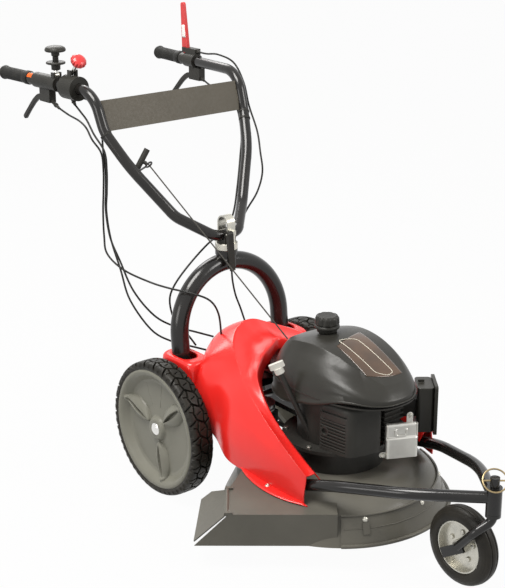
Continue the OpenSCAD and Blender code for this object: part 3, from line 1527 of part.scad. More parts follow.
// Hand lever from its eye back and down to its tip, about the X axis
module hand_lever() {
  deep = lever_t * lever_half_share;
  translate(on_run(pivot_d) - [0, 0, pivot_drop]) difference() {
    translate([-lever_t / 2, 0, 0]) rotate([90, 0, 90]) linear_extrude(height = lever_t) union() {
      circle(r = lever_eye);
      for (i = [0, 1]) let (s = lever_shares[i])
        translate([lever_reach * s[0], -lever_fall * s[1]]) rotate(lever_slopes[i])
          translate([0, -deep]) square([lever_reach * s[2], deep * 2]);
    }
    bar_x(-lever_t, lever_t, pivot_r + run_gap);
  }
}

module right_lever() {
  color(black) in_frame() hand_lever();
}

module left_lever() {
  color(black) in_frame() mirror([1, 0, 0]) hand_lever();
}

module safety_lever() {
  top = safety_len - safety_tip_r;
  pivot = on_run(safety_d) + [0, 0, safety_rise];
  color(red) in_frame() mirror([1, 0, 0]) translate(pivot) difference() {
    rotate([-safety_lean, 0, 0]) translate([-safety_t / 2, 0, 0]) rotate([90, 0, 90])
      linear_extrude(height = safety_t) union() {
        circle(r = safety_eye);
        polygon([[-safety_eye, 0], [safety_eye, 0], [safety_tip_r, top], [-safety_tip_r, top]]);
        translate([0, top]) circle(r = safety_tip_r);
      }
    bar_x(-safety_t, safety_t, safety_pin_r + run_gap);
  }
}

// Throttle lever with a mushroom knob
module throttle_lever() {
  knob_z = throttle_len - knob_h / 2;
  shaft_z = collar_up - gap * 2;
  neck_z = collar_up + collar_sleeve_h + collar_travel + gap * 4;
  dome_r = knob_r * 1.8;
  color(black) in_frame() translate(on_run(throttle_d) + [0, 0, throttle_rise]) difference() {
    union() {
      bar_x(-post_eye, post_eye, post_eye);
      cylinder(h = throttle_len, r = throttle_rod_r);
      translate([0, 0, shaft_z]) cylinder(h = knob_z - shaft_z + cut, r = throttle_shaft_r);
      translate([0, 0, neck_z]) cylinder(h = knob_z - neck_z + cut, r = throttle_neck_r);
      translate([0, 0, knob_z]) cylinder(h = knob_h / 2, r = knob_r);
      intersection() {
        translate([0, 0, knob_z + knob_h - dome_r]) sphere(r = dome_r);
        translate([0, 0, knob_z]) cylinder(h = knob_h, r = knob_r);
      }
    }
    bar_x(-post_eye * 2, post_eye * 2, post_pin_r + run_gap);
  }
}

module lock_collar() {
  color(black) in_frame() translate(on_run(throttle_d) + [0, 0, throttle_rise + collar_up]) difference() {
    union() {
      cylinder(h = collar_sleeve_h, r = collar_sleeve_r);
      translate([0, 0, collar_sleeve_h - collar_h]) cylinder(h = collar_h, r = collar_r);
    }
    translate([0, 0, -cut]) cylinder(h = collar_sleeve_h + cut * 2, r = throttle_shaft_r + run_gap);
  }
}

module gear_housing() {
  color(black) in_frame() union() {
    run(on_run(gear_d - gear_half_l), on_run(gear_d + gear_half_l), gear_r, bar_r);
    lever_post(gear_d, gear_rise, gear_r - sleeve_t / 2);
  }
}

module gear_lever() {
  lens_r = gear_knob_r * 1.3;
  lens_off = gear_knob_r * gear_knob_share;
  color(red) in_frame() translate(on_run(gear_d) + [0, 0, gear_rise]) difference() {
    union() {
      bar_x(-post_eye, post_eye, post_eye);
      rotate([gear_lean, 0, 0]) {
        cylinder(h = gear_shaft_len, r = gear_shaft_r);
        translate([0, 0, gear_shaft_len]) intersection() {
          translate([0, 0, lens_off]) sphere(r = lens_r);
          translate([0, 0, -lens_off]) sphere(r = lens_r);
        }
      }
    }
    bar_x(-post_eye * 2, post_eye * 2, post_pin_r + run_gap);
  }
}

// T-shaped pull of the starter's rope
module starter_handle() {
  color(black) in_frame() translate(guide_eye + handle_dir * handle_gap) union() {
    aim(handle_dir) cylinder(h = handle_stem_len, r = handle_stem_r);
    translate(handle_dir * handle_stem_len - handle_bar_dir * handle_bar_len / 2) aim(handle_bar_dir)
      cylinder(h = handle_bar_len, r = handle_bar_r);
  }
}

module starter_rope() {
  low = rope_out + rope_dir * gap;
  top = guide_eye + handle_dir * (handle_gap - gap - rope_r / 2);
  route = [for (t = [0 : 4]) mix(low, top, t / 4)];
  color(rubber) in_frame() cord(route, rope_r, cable_steps);
}

module right_cables() {
  color(rubber) in_frame() {
    cord(clutch_route, cable_r, cable_steps);
    cord(throttle_route, cable_r, cable_steps);
    cord(gear_route, cable_r, cable_steps);
  }
}

module left_cables() {
  color(rubber) in_frame() {
    cord(drive_route, cable_r, cable_steps);
    cord(safety_route, cable_r, cable_steps);
  }
}

deck_shell();
front_skirt();
discharge_chute();
rear_chassis();
hoop();
fairing();
hoop_foot_covers();
front_wishbone();
gearbox_housing();
engine_block();
engine_cover();
fuel_tank();
muffler();
muffler_guard();
heat_shield();
air_filter_box();
air_filter_cover();
carburettor();
drive_belt();
fasteners();
crankshaft();
flywheel();
blade();
idler_arm();
input_shaft();
drive_axle();
right_rim();
right_tyre();
right_hub_cap();
left_rim();
left_tyre();
left_hub_cap();
caster_fork();
lynch_pin();
caster_rim();
caster_tyre();
swivel_head();
swivel_ring();
clamp_strap();
clamp_lever();
handlebar_tube();
cross_plate();
grips();
right_control_bracket();
left_control_bracket();
gear_housing();
right_lever();
left_lever();
safety_lever();
throttle_lever();
lock_collar();
gear_lever();
starter_handle();
starter_pulley();
fuel_cap();
oil_cap();
chute_flap();
right_cables();
left_cables();
starter_rope();
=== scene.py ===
"""Looks of a three-wheel walk-behind rough-grass mower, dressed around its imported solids.

Places are written in layout millimetres: the rear axle at y = 0, forward along -Y, the
operator's right along -X and the ground at z = 0. place() turns them into the row frame.
"""

from __future__ import annotations

import json
import logging
import math
from collections.abc import Callable, Iterable
from dataclasses import dataclass
from enum import Enum

import bpy
import numpy as np
from mathutils import Matrix
from numpy.typing import ArrayLike

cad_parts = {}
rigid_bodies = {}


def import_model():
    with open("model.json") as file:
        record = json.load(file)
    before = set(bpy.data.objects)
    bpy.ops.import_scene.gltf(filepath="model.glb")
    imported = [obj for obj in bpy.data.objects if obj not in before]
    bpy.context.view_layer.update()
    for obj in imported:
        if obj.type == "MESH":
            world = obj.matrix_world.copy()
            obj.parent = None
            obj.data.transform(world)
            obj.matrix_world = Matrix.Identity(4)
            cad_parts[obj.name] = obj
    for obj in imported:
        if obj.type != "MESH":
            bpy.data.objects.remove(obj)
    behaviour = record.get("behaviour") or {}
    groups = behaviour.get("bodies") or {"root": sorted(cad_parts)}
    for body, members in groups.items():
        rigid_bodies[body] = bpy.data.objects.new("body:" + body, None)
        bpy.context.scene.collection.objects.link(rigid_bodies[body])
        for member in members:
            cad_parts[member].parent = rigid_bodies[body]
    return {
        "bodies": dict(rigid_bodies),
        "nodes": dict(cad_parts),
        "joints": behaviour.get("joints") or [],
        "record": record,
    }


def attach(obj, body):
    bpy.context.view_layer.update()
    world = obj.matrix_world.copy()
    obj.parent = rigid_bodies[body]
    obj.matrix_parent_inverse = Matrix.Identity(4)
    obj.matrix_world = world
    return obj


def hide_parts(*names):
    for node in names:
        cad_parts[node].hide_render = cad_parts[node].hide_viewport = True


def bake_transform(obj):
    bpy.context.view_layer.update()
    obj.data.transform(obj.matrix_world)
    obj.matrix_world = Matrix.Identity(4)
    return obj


LOG = logging.getLogger("mower")
Array = np.ndarray
Colour = tuple[float, float, float]
Point = tuple[float, float, float]
Wave = Callable[[Array, Array], Array]
Socket = bpy.types.NodeSocket
Tree = bpy.types.NodeTree
MM = 1000.0
FULL = 2 * math.pi
UP = (0.0, 0.0, 1.0)
MIDDLE = np.array([-78.3713, -119.99, 0.0])
SIDES = (("right", -1.0), ("left", 1.0))
MIX_SHARE, MIX_VALUES, MIX_COLOURS = 0, (2, 3), (6, 7)
MIX_VALUE_OUT, MIX_COLOUR_OUT = 0, 2


def place(points: ArrayLike) -> Array:
    """Turns layout millimetres into row-frame metres."""
    return (np.asarray(points, float) - MIDDLE) / MM


def unit(v: ArrayLike) -> Array:
    """Scales vectors along the last axis to length one."""
    a = np.asarray(v, float)
    return a / np.maximum(np.linalg.norm(a, axis=-1, keepdims=True), 1e-12)


def ramp(x: Array, low: float, high: float) -> Array:
    """Smooth step: 0 below low, 1 above high, an S-curve between."""
    t = np.clip((x - low) / (high - low), 0.0, 1.0)
    return t * t * (3.0 - 2.0 * t)


def window(x: Array, low: float, high: float, soft: float) -> Array:
    """Smooth step up after low and down after high, each over the same length."""
    return ramp(x, low, low + soft) * (1 - ramp(x, high, high + soft))


def wrapped(x: Array) -> Array:
    """Distance from the nearest whole number, with its sign."""
    return x - np.round(x)


def zigzag(x: Array) -> Array:
    """Triangle wave of period one between -1 and 1."""
    return 4.0 * np.abs(wrapped(x)) - 1.0


def angles(count: int) -> Array:
    """Even angles round a full turn, without the first again at the end."""
    return np.linspace(0, FULL, count, endpoint=False)


def spline(points: ArrayLike, steps: int) -> Array:
    """Catmull-Rom curve through all points.

    Args:
        points: The points, first axis along the curve.
        steps: Steps between each pair of points.
    Returns:
        The curve's points, the last one included.
    """
    p = np.asarray(points, float)
    q = np.concatenate([p[:1], p, p[-1:]])
    t = (np.arange(steps) / steps).reshape((1, steps) + (1,) * (p.ndim - 1))
    a, b, c, d = (q[k:len(q) - 3 + k, None] for k in range(4))
    square, cube = 2 * a - 5 * b + 4 * c - d, 3 * b - a - 3 * c + d
    s = 0.5 * (2 * b + (c - a) * t + square * t**2 + cube * t**3)
    return np.concatenate([s.reshape((-1,) + p.shape[1:]), p[-1:]])


def run_along(path: Array) -> Array:
    """Distance of each point of a path from its start, along the path."""
    return np.concatenate([[0], np.cumsum(np.linalg.norm(np.diff(path, axis=0), axis=1))])


def resampled(path: Array, count: int, endpoint: bool = True) -> Array:
    """Evenly spaced points along a path, with its last point or without.

    Args:
        path: Points of the path.
        count: Number of points.
        endpoint: True includes the path's last point.
    Returns:
        The points.
    """
    run = run_along(path)
    t = np.linspace(0, run[-1], count, endpoint=endpoint)
    return np.stack([np.interp(t, run, path[:, k]) for k in range(path.shape[1])], 1)


def bezier(a: Array, b: Array, c: Array, t: Array) -> Array:
    """Quadratic curve from a towards b to c."""
    return a * (1 - t) ** 2 + 2 * b * t * (1 - t) + c * t**2


def rounded(profile: ArrayLike, size: float, steps: int = 4) -> Array:
    """Rounds the inner corners of an open outline by quadratic curves of the given reach.

    Args:
        profile: Points of the outline.
        size: Reach of each curve along the outline.
        steps: Steps of each curve.
    Returns:
        The rounded outline.
    """
    p = np.asarray(profile, float)
    inward = np.minimum(size, 0.45 * np.linalg.norm(np.diff(p, axis=0), axis=1))
    before = p[1:-1] + unit(p[:-2] - p[1:-1]) * inward[:-1, None]
    after = p[1:-1] + unit(p[2:] - p[1:-1]) * inward[1:, None]
    t = np.linspace(0, 1, steps + 1)[None, :, None]
    curve = bezier(before[:, None], p[1:-1, None], after[:, None], t)
    return np.concatenate([p[:1], curve.reshape(-1, p.shape[1]), p[-1:]])


def cells(rows: int, cols: int, wrap_rows: bool = False, wrap_cols: bool = False) -> Array:
    """Quads of a grid of points, numbered row by row.

    Args:
        rows: Rows of the grid.
        cols: Columns of the grid.
        wrap_rows: True joins the last row to the first.
        wrap_cols: True joins the last column to the first.
    Returns:
        Rows of four point numbers.
    """
    i = np.arange(rows if wrap_rows else rows - 1)[:, None]
    j = np.arange(cols if wrap_cols else cols - 1)[None, :]
    i2, j2 = (i + 1) % rows, (j + 1) % cols
    corners = (i * cols + j, i2 * cols + j, i2 * cols + j2, i * cols + j2)
    return np.stack(np.broadcast_arrays(*corners), -1).reshape(-1, 4)


def capped(rows: int, cols: int) -> list[Array]:
    """Faces of a grid that wraps round its columns, with a cap on its first and its last row."""
    around = np.arange(cols)
    return [*cells(rows, cols, wrap_cols=True)[:, ::-1], around[::-1], (rows - 1) * cols + around]


def mesh_piece(name: str, points: Array, faces: Iterable, sharp: float = 40.0,
               flip: bool = False) -> bpy.types.Object:
    """Makes a smooth-shaded mesh object at the origin.

    Args:
        name: Piece name.
        points: Row-frame points in metres.
        faces: Faces as lists of point numbers.
        sharp: Angle in degrees above which an edge stays sharp.
        flip: True turns every face round.
    Returns:
        The linked object.
    """
    mesh = bpy.data.meshes.new(name)
    step = -1 if flip else 1
    rows = [np.asarray(f)[::step].tolist() for f in faces]
    mesh.from_pydata(np.asarray(points, float).reshape(-1, 3), [], rows)
    mesh.update()
    mesh.polygons.foreach_set("use_smooth", np.ones(len(mesh.polygons), bool))
    mesh.set_sharp_from_angle(angle=math.radians(sharp))
    piece = bpy.data.objects.new(name, mesh)
    bpy.context.scene.collection.objects.link(piece)
    return piece


def sheet(name: str, grid: Array, sharp: float, wrap: bool = False,
          flip: bool = False) -> bpy.types.Object:
    """Makes an open sheet from a grid of layout points, joined round its columns if it wraps."""
    faces = cells(*grid.shape[:2], wrap_cols=wrap)
    return mesh_piece(name, place(grid.reshape(-1, 3)), faces, sharp, flip)


def frames(path: Array, up: ArrayLike = (0.13, 0.31, 0.94)) -> tuple[Array, Array]:
    """Side directions along a path, carried without twist.

    Args:
        path: Points of the path.
        up: Rough direction of the first side.
    Returns:
        Two arrays of unit vectors square to the path.
    """
    along = unit(np.gradient(path, axis=0))
    sides = np.empty_like(along)
    side = np.asarray(up, float)
    for k, t in enumerate(along):
        side = unit(side - t * (side @ t))
        sides[k] = side
    return sides, np.cross(along, sides)


def tube(path: Array, radius: ArrayLike, sides: int) -> tuple[Array, list[Array]]:
    """Round tube along a path: a circle of the local radius carried along it, closed at both ends.

    Args:
        path: Points in metres.
        radius: One radius, or one for each point.
        sides: Points round the circle.
    Returns:
        Points and faces.
    """
    a, b = frames(path)
    turn = angles(sides)[None, :, None]
    r = np.broadcast_to(np.asarray(radius, float), len(path))[:, None, None]
    ring = np.cos(turn) * a[:, None] + np.sin(turn) * b[:, None]
    return (path[:, None] + ring * r).reshape(-1, 3), capped(len(path), sides)


def lathe(profile: ArrayLike, origin: ArrayLike, axis: ArrayLike, sides: int,
          wave: Wave | None = None) -> tuple[Array, list[Array]]:
    """Surface of revolution: each profile point (along the axis, radius) goes round the axis.

    Args:
        profile: Rows of (along, radius) in millimetres, in order from one end to the other.
        origin: Layout point where the distance along the axis is zero.
        axis: Direction of the axis.
        sides: Points round the axis.
        wave: Optional function of (angle, profile) giving a change of radius in millimetres.
    Returns:
        Points in the row frame, and faces with the two caps last.
    """
    p = np.asarray(profile, float)
    w = unit(axis)
    u = unit(np.cross(w, UP if abs(w[2]) < 0.9 else (1.0, 0.0, 0.0)))
    v = np.cross(w, u)
    turn = angles(sides)
    r = p[:, 1][:, None] + (0.0 if wave is None else wave(turn[None, :], p[:, None, :]))
    ring = np.cos(turn)[None, :, None] * u + np.sin(turn)[None, :, None] * v
    points = np.asarray(origin, float) + p[:, 0][:, None, None] * w + ring * r[..., None]
    return place(points.reshape(-1, 3)), capped(len(p), sides)


def outward(piece: bpy.types.Object) -> bpy.types.Object:
    """Turns a closed piece's faces outwards, judged by the sign of its volume.

    Args:
        piece: The piece.
    Returns:
        The same piece.
    """
    mesh = piece.data
    mesh.calc_loop_triangles()
    tri = np.empty(len(mesh.loop_triangles) * 3, np.int32)
    mesh.loop_triangles.foreach_get("vertices", tri)
    co = np.empty(len(mesh.vertices) * 3, np.float32)
    mesh.vertices.foreach_get("co", co)
    p = co.reshape(-1, 3).astype(float)
    p = p - p.mean(0)
    a, b, c = (p[tri.reshape(-1, 3)[:, k]] for k in range(3))
    if np.einsum("ij,ij->i", a, np.cross(b, c)).sum() < 0:
        mesh.flip_normals()
    return piece


def upward(piece: bpy.types.Object) -> bpy.types.Object:
    """Turns an open shell's faces outwards, judged by its highest face, which looks up.

    Args:
        piece: The piece.
    Returns:
        The same piece.
    """
    faces = piece.data.polygons
    centre, normal = (np.empty(len(faces) * 3, np.float32) for _ in range(2))
    faces.foreach_get("center", centre)
    faces.foreach_get("normal", normal)
    if normal.reshape(-1, 3)[np.argmax(centre.reshape(-1, 3)[:, 2]), 2] < 0:
        piece.data.flip_normals()
    return piece


def turned(name: str, profile: ArrayLike, origin: ArrayLike, axis: ArrayLike, sides: int,
           sharp: float, wave: Wave | None = None) -> bpy.types.Object:
    """Makes a closed piece by lathe(), its faces outwards."""
    return outward(mesh_piece(name, *lathe(profile, origin, axis, sides, wave), sharp))


def soften(piece: bpy.types.Object, width: float, segments: int, angle: float) -> None:
    """Rounds edges sharper than an angle in degrees, over a width in millimetres.

    Args:
        piece: The piece.
        width: Width in millimetres.
        segments: Steps of the rounding.
        angle: Angle in degrees.
    """
    edge = piece.modifiers.new("soft", "BEVEL")
    edge.width, edge.segments = width / MM, segments
    edge.limit_method, edge.angle_limit = "ANGLE", math.radians(angle)


def walled(piece: bpy.types.Object, thickness: float, soft: float = 0.0) -> bpy.types.Object:
    """Gives a shell its wall, inwards, and softens its rims; both sizes in millimetres.

    Args:
        piece: The piece.
        thickness: Thickness in millimetres.
        soft: Width of the softened rims in millimetres, or zero.
    Returns:
        The same piece.
    """
    wall = piece.modifiers.new("wall", "SOLIDIFY")
    wall.thickness, wall.offset = thickness / MM, -1.0
    if soft > 0:
        soften(piece, soft, 2, 50)
    return piece


def slab(name: str, outline: Array, depth: float, origin: ArrayLike, across: ArrayLike,
         up: ArrayLike, soft: float) -> bpy.types.Object:
    """Flat piece: a closed outline in two directions, given a depth along their cross product.

    Args:
        name: Piece name.
        outline: Rows of (across, up) in millimetres, without the first point again at the end.
        depth: Depth in millimetres, half to each side of the origin.
        origin: Layout point of the outline's zero.
        across: First direction.
        up: Second direction.
        soft: Width of the softened edges in millimetres.
    Returns:
        The closed piece, its faces outwards.
    """
    a, b = unit(across), unit(up)
    flat = np.asarray(origin, float) + outline[:, :1] * a + outline[:, 1:] * b
    half = np.cross(a, b) * depth / 2
    points = place(np.concatenate([flat - half, flat + half]))
    piece = outward(mesh_piece(name, points, capped(2, len(outline)), 35))
    soften(piece, soft, 3, 50)
    return piece


def node(tree: Tree, kind: str, values: dict[str, float] | None = None) -> bpy.types.Node:
    """Adds a shader node and sets the inputs that are given by name.

    Args:
        tree: Node tree that takes the node.
        kind: Node type without its prefix.
        values: Values by input name.
    Returns:
        The node.
    """
    made = tree.nodes.new("ShaderNode" + kind)
    for key, value in (values or {}).items():
        made.inputs[key].default_value = value
    return made


def link(tree: Tree, *pairs: tuple[Socket, Socket]) -> None:
    """Links sockets, each pair from an output to an input."""
    for start, end in pairs:
        tree.links.new(start, end)


def spread(tree: Tree, value: Socket, start: tuple[float, float],
           end: tuple[float, float]) -> bpy.types.Node:
    """Maps a value's band onto another band.

    Args:
        tree: Node tree that takes the node.
        value: The value.
        start: Band that it lies in.
        end: Band that it is mapped onto.
    Returns:
        The node.
    """
    made = node(tree, "MapRange", {"From Min": start[0], "From Max": start[1],
                                   "To Min": end[0], "To Max": end[1]})
    link(tree, (value, made.inputs["Value"]))
    return made


def maths(tree: Tree, operation: str, a: Socket, b: Socket | float) -> Socket:
    """Adds or multiplies a socket with another socket or with a number.

    Args:
        tree: Node tree that takes the node.
        operation: ADD, which is clamped to 1, or MULTIPLY.
        a: First value.
        b: Second value.
    Returns:
        The result.
    """
    made = node(tree, "Math")
    made.operation, made.use_clamp = operation, operation == "ADD"
    link(tree, (a, made.inputs[0]))
    if isinstance(b, float):
        made.inputs[1].default_value = b
    else:
        link(tree, (b, made.inputs[1]))
    return made.outputs[0]


def blended(tree: Tree, share: Socket, first: Socket | Colour,
            second: Socket | Colour) -> Socket:
    """Mixes two colours, each a socket or a fixed colour, by a share.

    Args:
        tree: Node tree that takes the node.
        share: Share of the second colour.
        first: First colour.
        second: Second colour.
    Returns:
        The mixed colour.
    """
    mix = node(tree, "Mix")
    mix.data_type = "RGBA"
    link(tree, (share, mix.inputs[MIX_SHARE]))
    for key, colour in zip(MIX_COLOURS, (first, second)):
        if isinstance(colour, tuple):
            mix.inputs[key].default_value = (*colour, 1.0)
        else:
            link(tree, (colour, mix.inputs[key]))
    return mix.outputs[MIX_COLOUR_OUT]


class Grain(Enum):
    """Surface relief of a finish, by the share of pits in it."""

    MOULDED = 0.5
    ENAMEL = 0.1
    RUBBER = 0.7
    METAL = 0.2


class Shaders:
    """Node groups that several finishes share, each built once."""

    _made: dict[str, bpy.types.ShaderNodeTree] = {}

    @classmethod
    def _group(cls, name: str, inputs: dict[str, float], outputs: list[str]) -> tuple[
            Tree, bpy.types.NodeOutputs, bpy.types.NodeInputs, Socket]:
        """Makes an empty group with value inputs and outputs, and its Object coordinates.

        Args:
            name: Group name.
            inputs: Value of each input.
            outputs: Names of the outputs.
        Returns:
            The tree, its inputs, its outputs and the Object coordinates.
        """
        tree = bpy.data.node_groups.new(name, "ShaderNodeTree")
        for label in [*inputs, *outputs]:
            way = "INPUT" if label in inputs else "OUTPUT"
            socket = tree.interface.new_socket(
                name=label, in_out=way, socket_type="NodeSocketFloat")
            socket.default_value = inputs.get(label, 0.0)
        cls._made[name] = tree
        ends = (tree.nodes.new("NodeGroupInput").outputs, tree.nodes.new("NodeGroupOutput").inputs)
        return tree, *ends, node(tree, "TexCoord").outputs["Object"]

    @classmethod
    def mottle(cls) -> bpy.types.ShaderNodeTree:
        """Slow and fine unevenness of colour and gloss, from two noises on Object coordinates.

        Returns:
            The group.
        """
        if "mottle" not in cls._made:
            inputs = {"Scale": 20.0, "Fine": 160.0}
            tree, inp, out, where = cls._group("mottle", inputs, ["Slow", "Fleck"])
            for socket, label, detail in (("Scale", "Slow", 4.0), ("Fine", "Fleck", 2.0)):
                noise = node(tree, "TexNoise", {"Detail": detail})
                link(tree, (where, noise.inputs["Vector"]), (inp[socket], noise.inputs["Scale"]),
                     (noise.outputs["Fac"], out[label]))
        return cls._made["mottle"]

    @classmethod
    def relief(cls) -> bpy.types.ShaderNodeTree:
        """Fine grain height: a noise with small pits from a Voronoi pattern.

        Returns:
            The group.
        """
        if "relief" not in cls._made:
            inputs = {"Scale": 900.0, "Pits": 0.4}
            tree, inp, out, where = cls._group("relief", inputs, ["Height"])
            noise, pits = node(tree, "TexNoise", {"Detail": 3.0}), node(tree, "TexVoronoi")
            mix = node(tree, "Mix")
            for made in (noise, pits):
                link(tree, (where, made.inputs["Vector"]), (inp["Scale"], made.inputs["Scale"]))
            low, high = (mix.inputs[key] for key in MIX_VALUES)
            link(tree, (inp["Pits"], mix.inputs[MIX_SHARE]), (noise.outputs["Fac"], low),
                 (pits.outputs["Distance"], high), (mix.outputs[MIX_VALUE_OUT], out["Height"]))
        return cls._made["relief"]

    @classmethod
    def dust(cls) -> bpy.types.ShaderNodeTree:
        """Mask of dry dust: strongest near the ground and in patches of a noise.

        Returns:
            The group.
        """
        if "dust" not in cls._made:
            inputs = {"Amount": 0.2, "Reach": 0.3}
            tree, inp, out, where = cls._group("dust", inputs, ["Mask"])
            split = node(tree, "SeparateXYZ")
            noise = node(tree, "TexNoise", {"Scale": 26.0, "Detail": 5.0})
            link(tree, (where, split.inputs[0]), (where, noise.inputs["Vector"]))
            fall = spread(tree, split.outputs["Z"], (0.0, 1.0), (1.0, 0.0))
            link(tree, (inp["Reach"], fall.inputs["From Max"]))
            patch = maths(tree, "MULTIPLY", fall.outputs[0], noise.outputs["Fac"])
            link(tree, (maths(tree, "MULTIPLY", patch, inp["Amount"]), out["Mask"]))
        return cls._made["dust"]


@dataclass(frozen=True)
class Finish:
    """One finish: two shades that a mottle mixes, a band of roughness and a relief."""

    name: str
    base: Colour
    shade: Colour
    rough: tuple[float, float]
    grain: Grain
    scale: float = 18.0
    fine: float = 140.0
    relief: float = 900.0
    bump: float = 0.08
    metallic: float = 0.0
    coat: float = 0.0
    dust: float = 0.0
    specular: float = 0.2
    slot: str = ""

    def material(self) -> bpy.types.Material:
        """Builds the finish's material, or gives the one already built.

        Returns:
            The material.
        """
        made = bpy.data.materials.get(self.name)
        if made is not None:
            return made
        made = bpy.data.materials.new(self.name)
        made.use_nodes = True
        tree = made.node_tree
        inputs = tree.nodes["Principled BSDF"].inputs
        inputs["Metallic"].default_value = self.metallic
        inputs["Coat Weight"].default_value = self.coat
        inputs["Coat Roughness"].default_value = 0.12
        inputs["Specular IOR Level"].default_value = self.specular
        mottle = self._use(tree, Shaders.mottle(), Scale=self.scale, Fine=self.fine)
        share = spread(tree, mottle["Slow"], (0.35, 0.65), (0.0, 1.0)).outputs[0]
        colour = blended(tree, share, self.base, self.shade)
        if self.dust > 0:
            mask = self._use(tree, Shaders.dust(), Amount=self.dust)["Mask"]
            colour = blended(tree, mask, colour, (0.30, 0.26, 0.19))
        rough = spread(tree, mottle["Fleck"], (0.3, 0.7), self.rough)
        relief = self._use(tree, Shaders.relief(), Scale=self.relief, Pits=self.grain.value)
        bump = node(tree, "Bump", {"Strength": self.bump, "Distance": 0.0006})
        link(tree, (colour, inputs["Base Color"]), (rough.outputs[0], inputs["Roughness"]),
             (relief["Height"], bump.inputs["Height"]), (bump.outputs["Normal"], inputs["Normal"]))
        return made

    @staticmethod
    def _use(tree: Tree, group: Tree, **values: float) -> bpy.types.NodeOutputs:
        """Places a shared group in a material with its own values, and gives its outputs.

        Args:
            tree: Node tree that takes the node.
            group: The group.
            values: Values by input name.
        Returns:
            The group's outputs.
        """
        made = node(tree, "Group")
        made.node_tree = group
        for label, value in values.items():
            made.inputs[label].default_value = value
        return made.outputs


RED = Finish(
    "red_cover", (0.78, 0.010, 0.008), (0.66, 0.008, 0.007), (0.30, 0.38),
    Grain.ENAMEL, scale=7, relief=420, bump=0.01, coat=0.10, specular=0.32, slot="red_cover")
GREY = Finish(
    "deck_grey", (0.112, 0.107, 0.090), (0.097, 0.093, 0.078), (0.30, 0.42),
    Grain.ENAMEL, scale=9, relief=700, bump=0.05, coat=0.10, dust=0.08, slot="deck_paint")
RIM = Finish(
    "wheel_grey_green", (0.190, 0.187, 0.155), (0.176, 0.173, 0.143), (0.28, 0.36),
    Grain.MOULDED, scale=12, relief=1100, bump=0.03, dust=0.04, slot="wheel_plastic")
TYRE = Finish(
    "tyre_black", (0.012, 0.011, 0.009), (0.020, 0.018, 0.014), (0.36, 0.50),
    Grain.RUBBER, scale=30, relief=800, bump=0.12, dust=0.05, slot="tyre_rubber")
TUBE = Finish(
    "black_enamel", (0.008, 0.0075, 0.007), (0.012, 0.011, 0.010), (0.16, 0.24),
    Grain.ENAMEL, scale=10, relief=500, bump=0.02, coat=0.22, specular=0.3, slot="black_tube")
PLATE = Finish(
    "plate_grey_brown", (0.078, 0.069, 0.053), (0.070, 0.062, 0.047), (0.38, 0.48),
    Grain.ENAMEL, scale=11, relief=800, bump=0.05, slot="plate_paint")
PLASTIC = Finish(
    "black_moulded", (0.020, 0.0195, 0.017), (0.027, 0.026, 0.0225), (0.34, 0.46),
    Grain.MOULDED, scale=14, relief=1300, bump=0.07, slot="black_plastic")
COVER = Finish(
    "engine_cover_black", (0.022, 0.0210, 0.0175), (0.027, 0.0258, 0.0215), (0.30, 0.38),
    Grain.MOULDED, scale=10, relief=1500, bump=0.03, coat=0.04, specular=0.25, slot="black_plastic")
GUARD = Finish(
    "guard_black", (0.030, 0.029, 0.026), (0.036, 0.035, 0.031), (0.42, 0.54),
    Grain.MOULDED, scale=16, relief=1300, bump=0.09, slot="black_plastic")
RUBBER = Finish(
    "grip_black", (0.013, 0.013, 0.012), (0.018, 0.018, 0.016), (0.50, 0.64),
    Grain.RUBBER, scale=40, relief=1400, bump=0.12, slot="grip_rubber")
CABLE = Finish(
    "cable_black", (0.011, 0.011, 0.010), (0.016, 0.016, 0.014), (0.34, 0.46),
    Grain.RUBBER, scale=60, relief=900, bump=0.05, slot="grip_rubber")
KNOB = Finish(
    "red_knob", (0.70, 0.016, 0.014), (0.58, 0.012, 0.011), (0.26, 0.34),
    Grain.MOULDED, scale=20, relief=900, bump=0.04, coat=0.1, slot="red_knob")
ORANGE = Finish(
    "orange_band", (0.72, 0.130, 0.020), (0.62, 0.100, 0.016), (0.36, 0.46),
    Grain.MOULDED, scale=26, relief=1000, bump=0.05)
PALE = Finish(
    "pale_cap", (0.62, 0.61, 0.56), (0.56, 0.55, 0.50), (0.36, 0.46),
    Grain.MOULDED, scale=26, relief=1000, bump=0.05, slot="pale_plastic")
ALLOY = Finish(
    "dark_alloy", (0.030, 0.029, 0.026), (0.040, 0.038, 0.034), (0.36, 0.50),
    Grain.METAL, scale=22, relief=1000, bump=0.14, metallic=0.2, slot="engine_alloy")
BRIGHT = Finish(
    "bright_sheet", (0.66, 0.65, 0.61), (0.58, 0.57, 0.53), (0.30, 0.42),
    Grain.METAL, scale=24, relief=900, bump=0.07, metallic=0.75, slot="sheet_alloy")
ZINC = Finish(
    "zinc_plate", (0.60, 0.58, 0.51), (0.50, 0.49, 0.44), (0.24, 0.36),
    Grain.METAL, scale=34, relief=700, bump=0.05, metallic=0.9, slot="zinc_steel")
CHROME = Finish(
    "bright_cap", (0.78, 0.77, 0.74), (0.72, 0.71, 0.68), (0.06, 0.12),
    Grain.METAL, scale=30, relief=500, bump=0.01, metallic=1.0, slot="zinc_steel")
STEEL = Finish(
    "bare_steel", (0.36, 0.355, 0.34), (0.28, 0.275, 0.265), (0.30, 0.44),
    Grain.METAL, scale=30, relief=700, bump=0.08, metallic=0.95, slot="bare_steel")
BRASS = Finish(
    "ring_brass", (0.40, 0.31, 0.17), (0.34, 0.26, 0.14), (0.26, 0.36),
    Grain.METAL, scale=40, relief=700, bump=0.04, metallic=0.9, slot="zinc_steel")
PANEL = Finish(
    "panel_brown", (0.060, 0.036, 0.022), (0.090, 0.050, 0.028), (0.10, 0.16),
    Grain.ENAMEL, scale=16, relief=400, bump=0.01, coat=0.6)
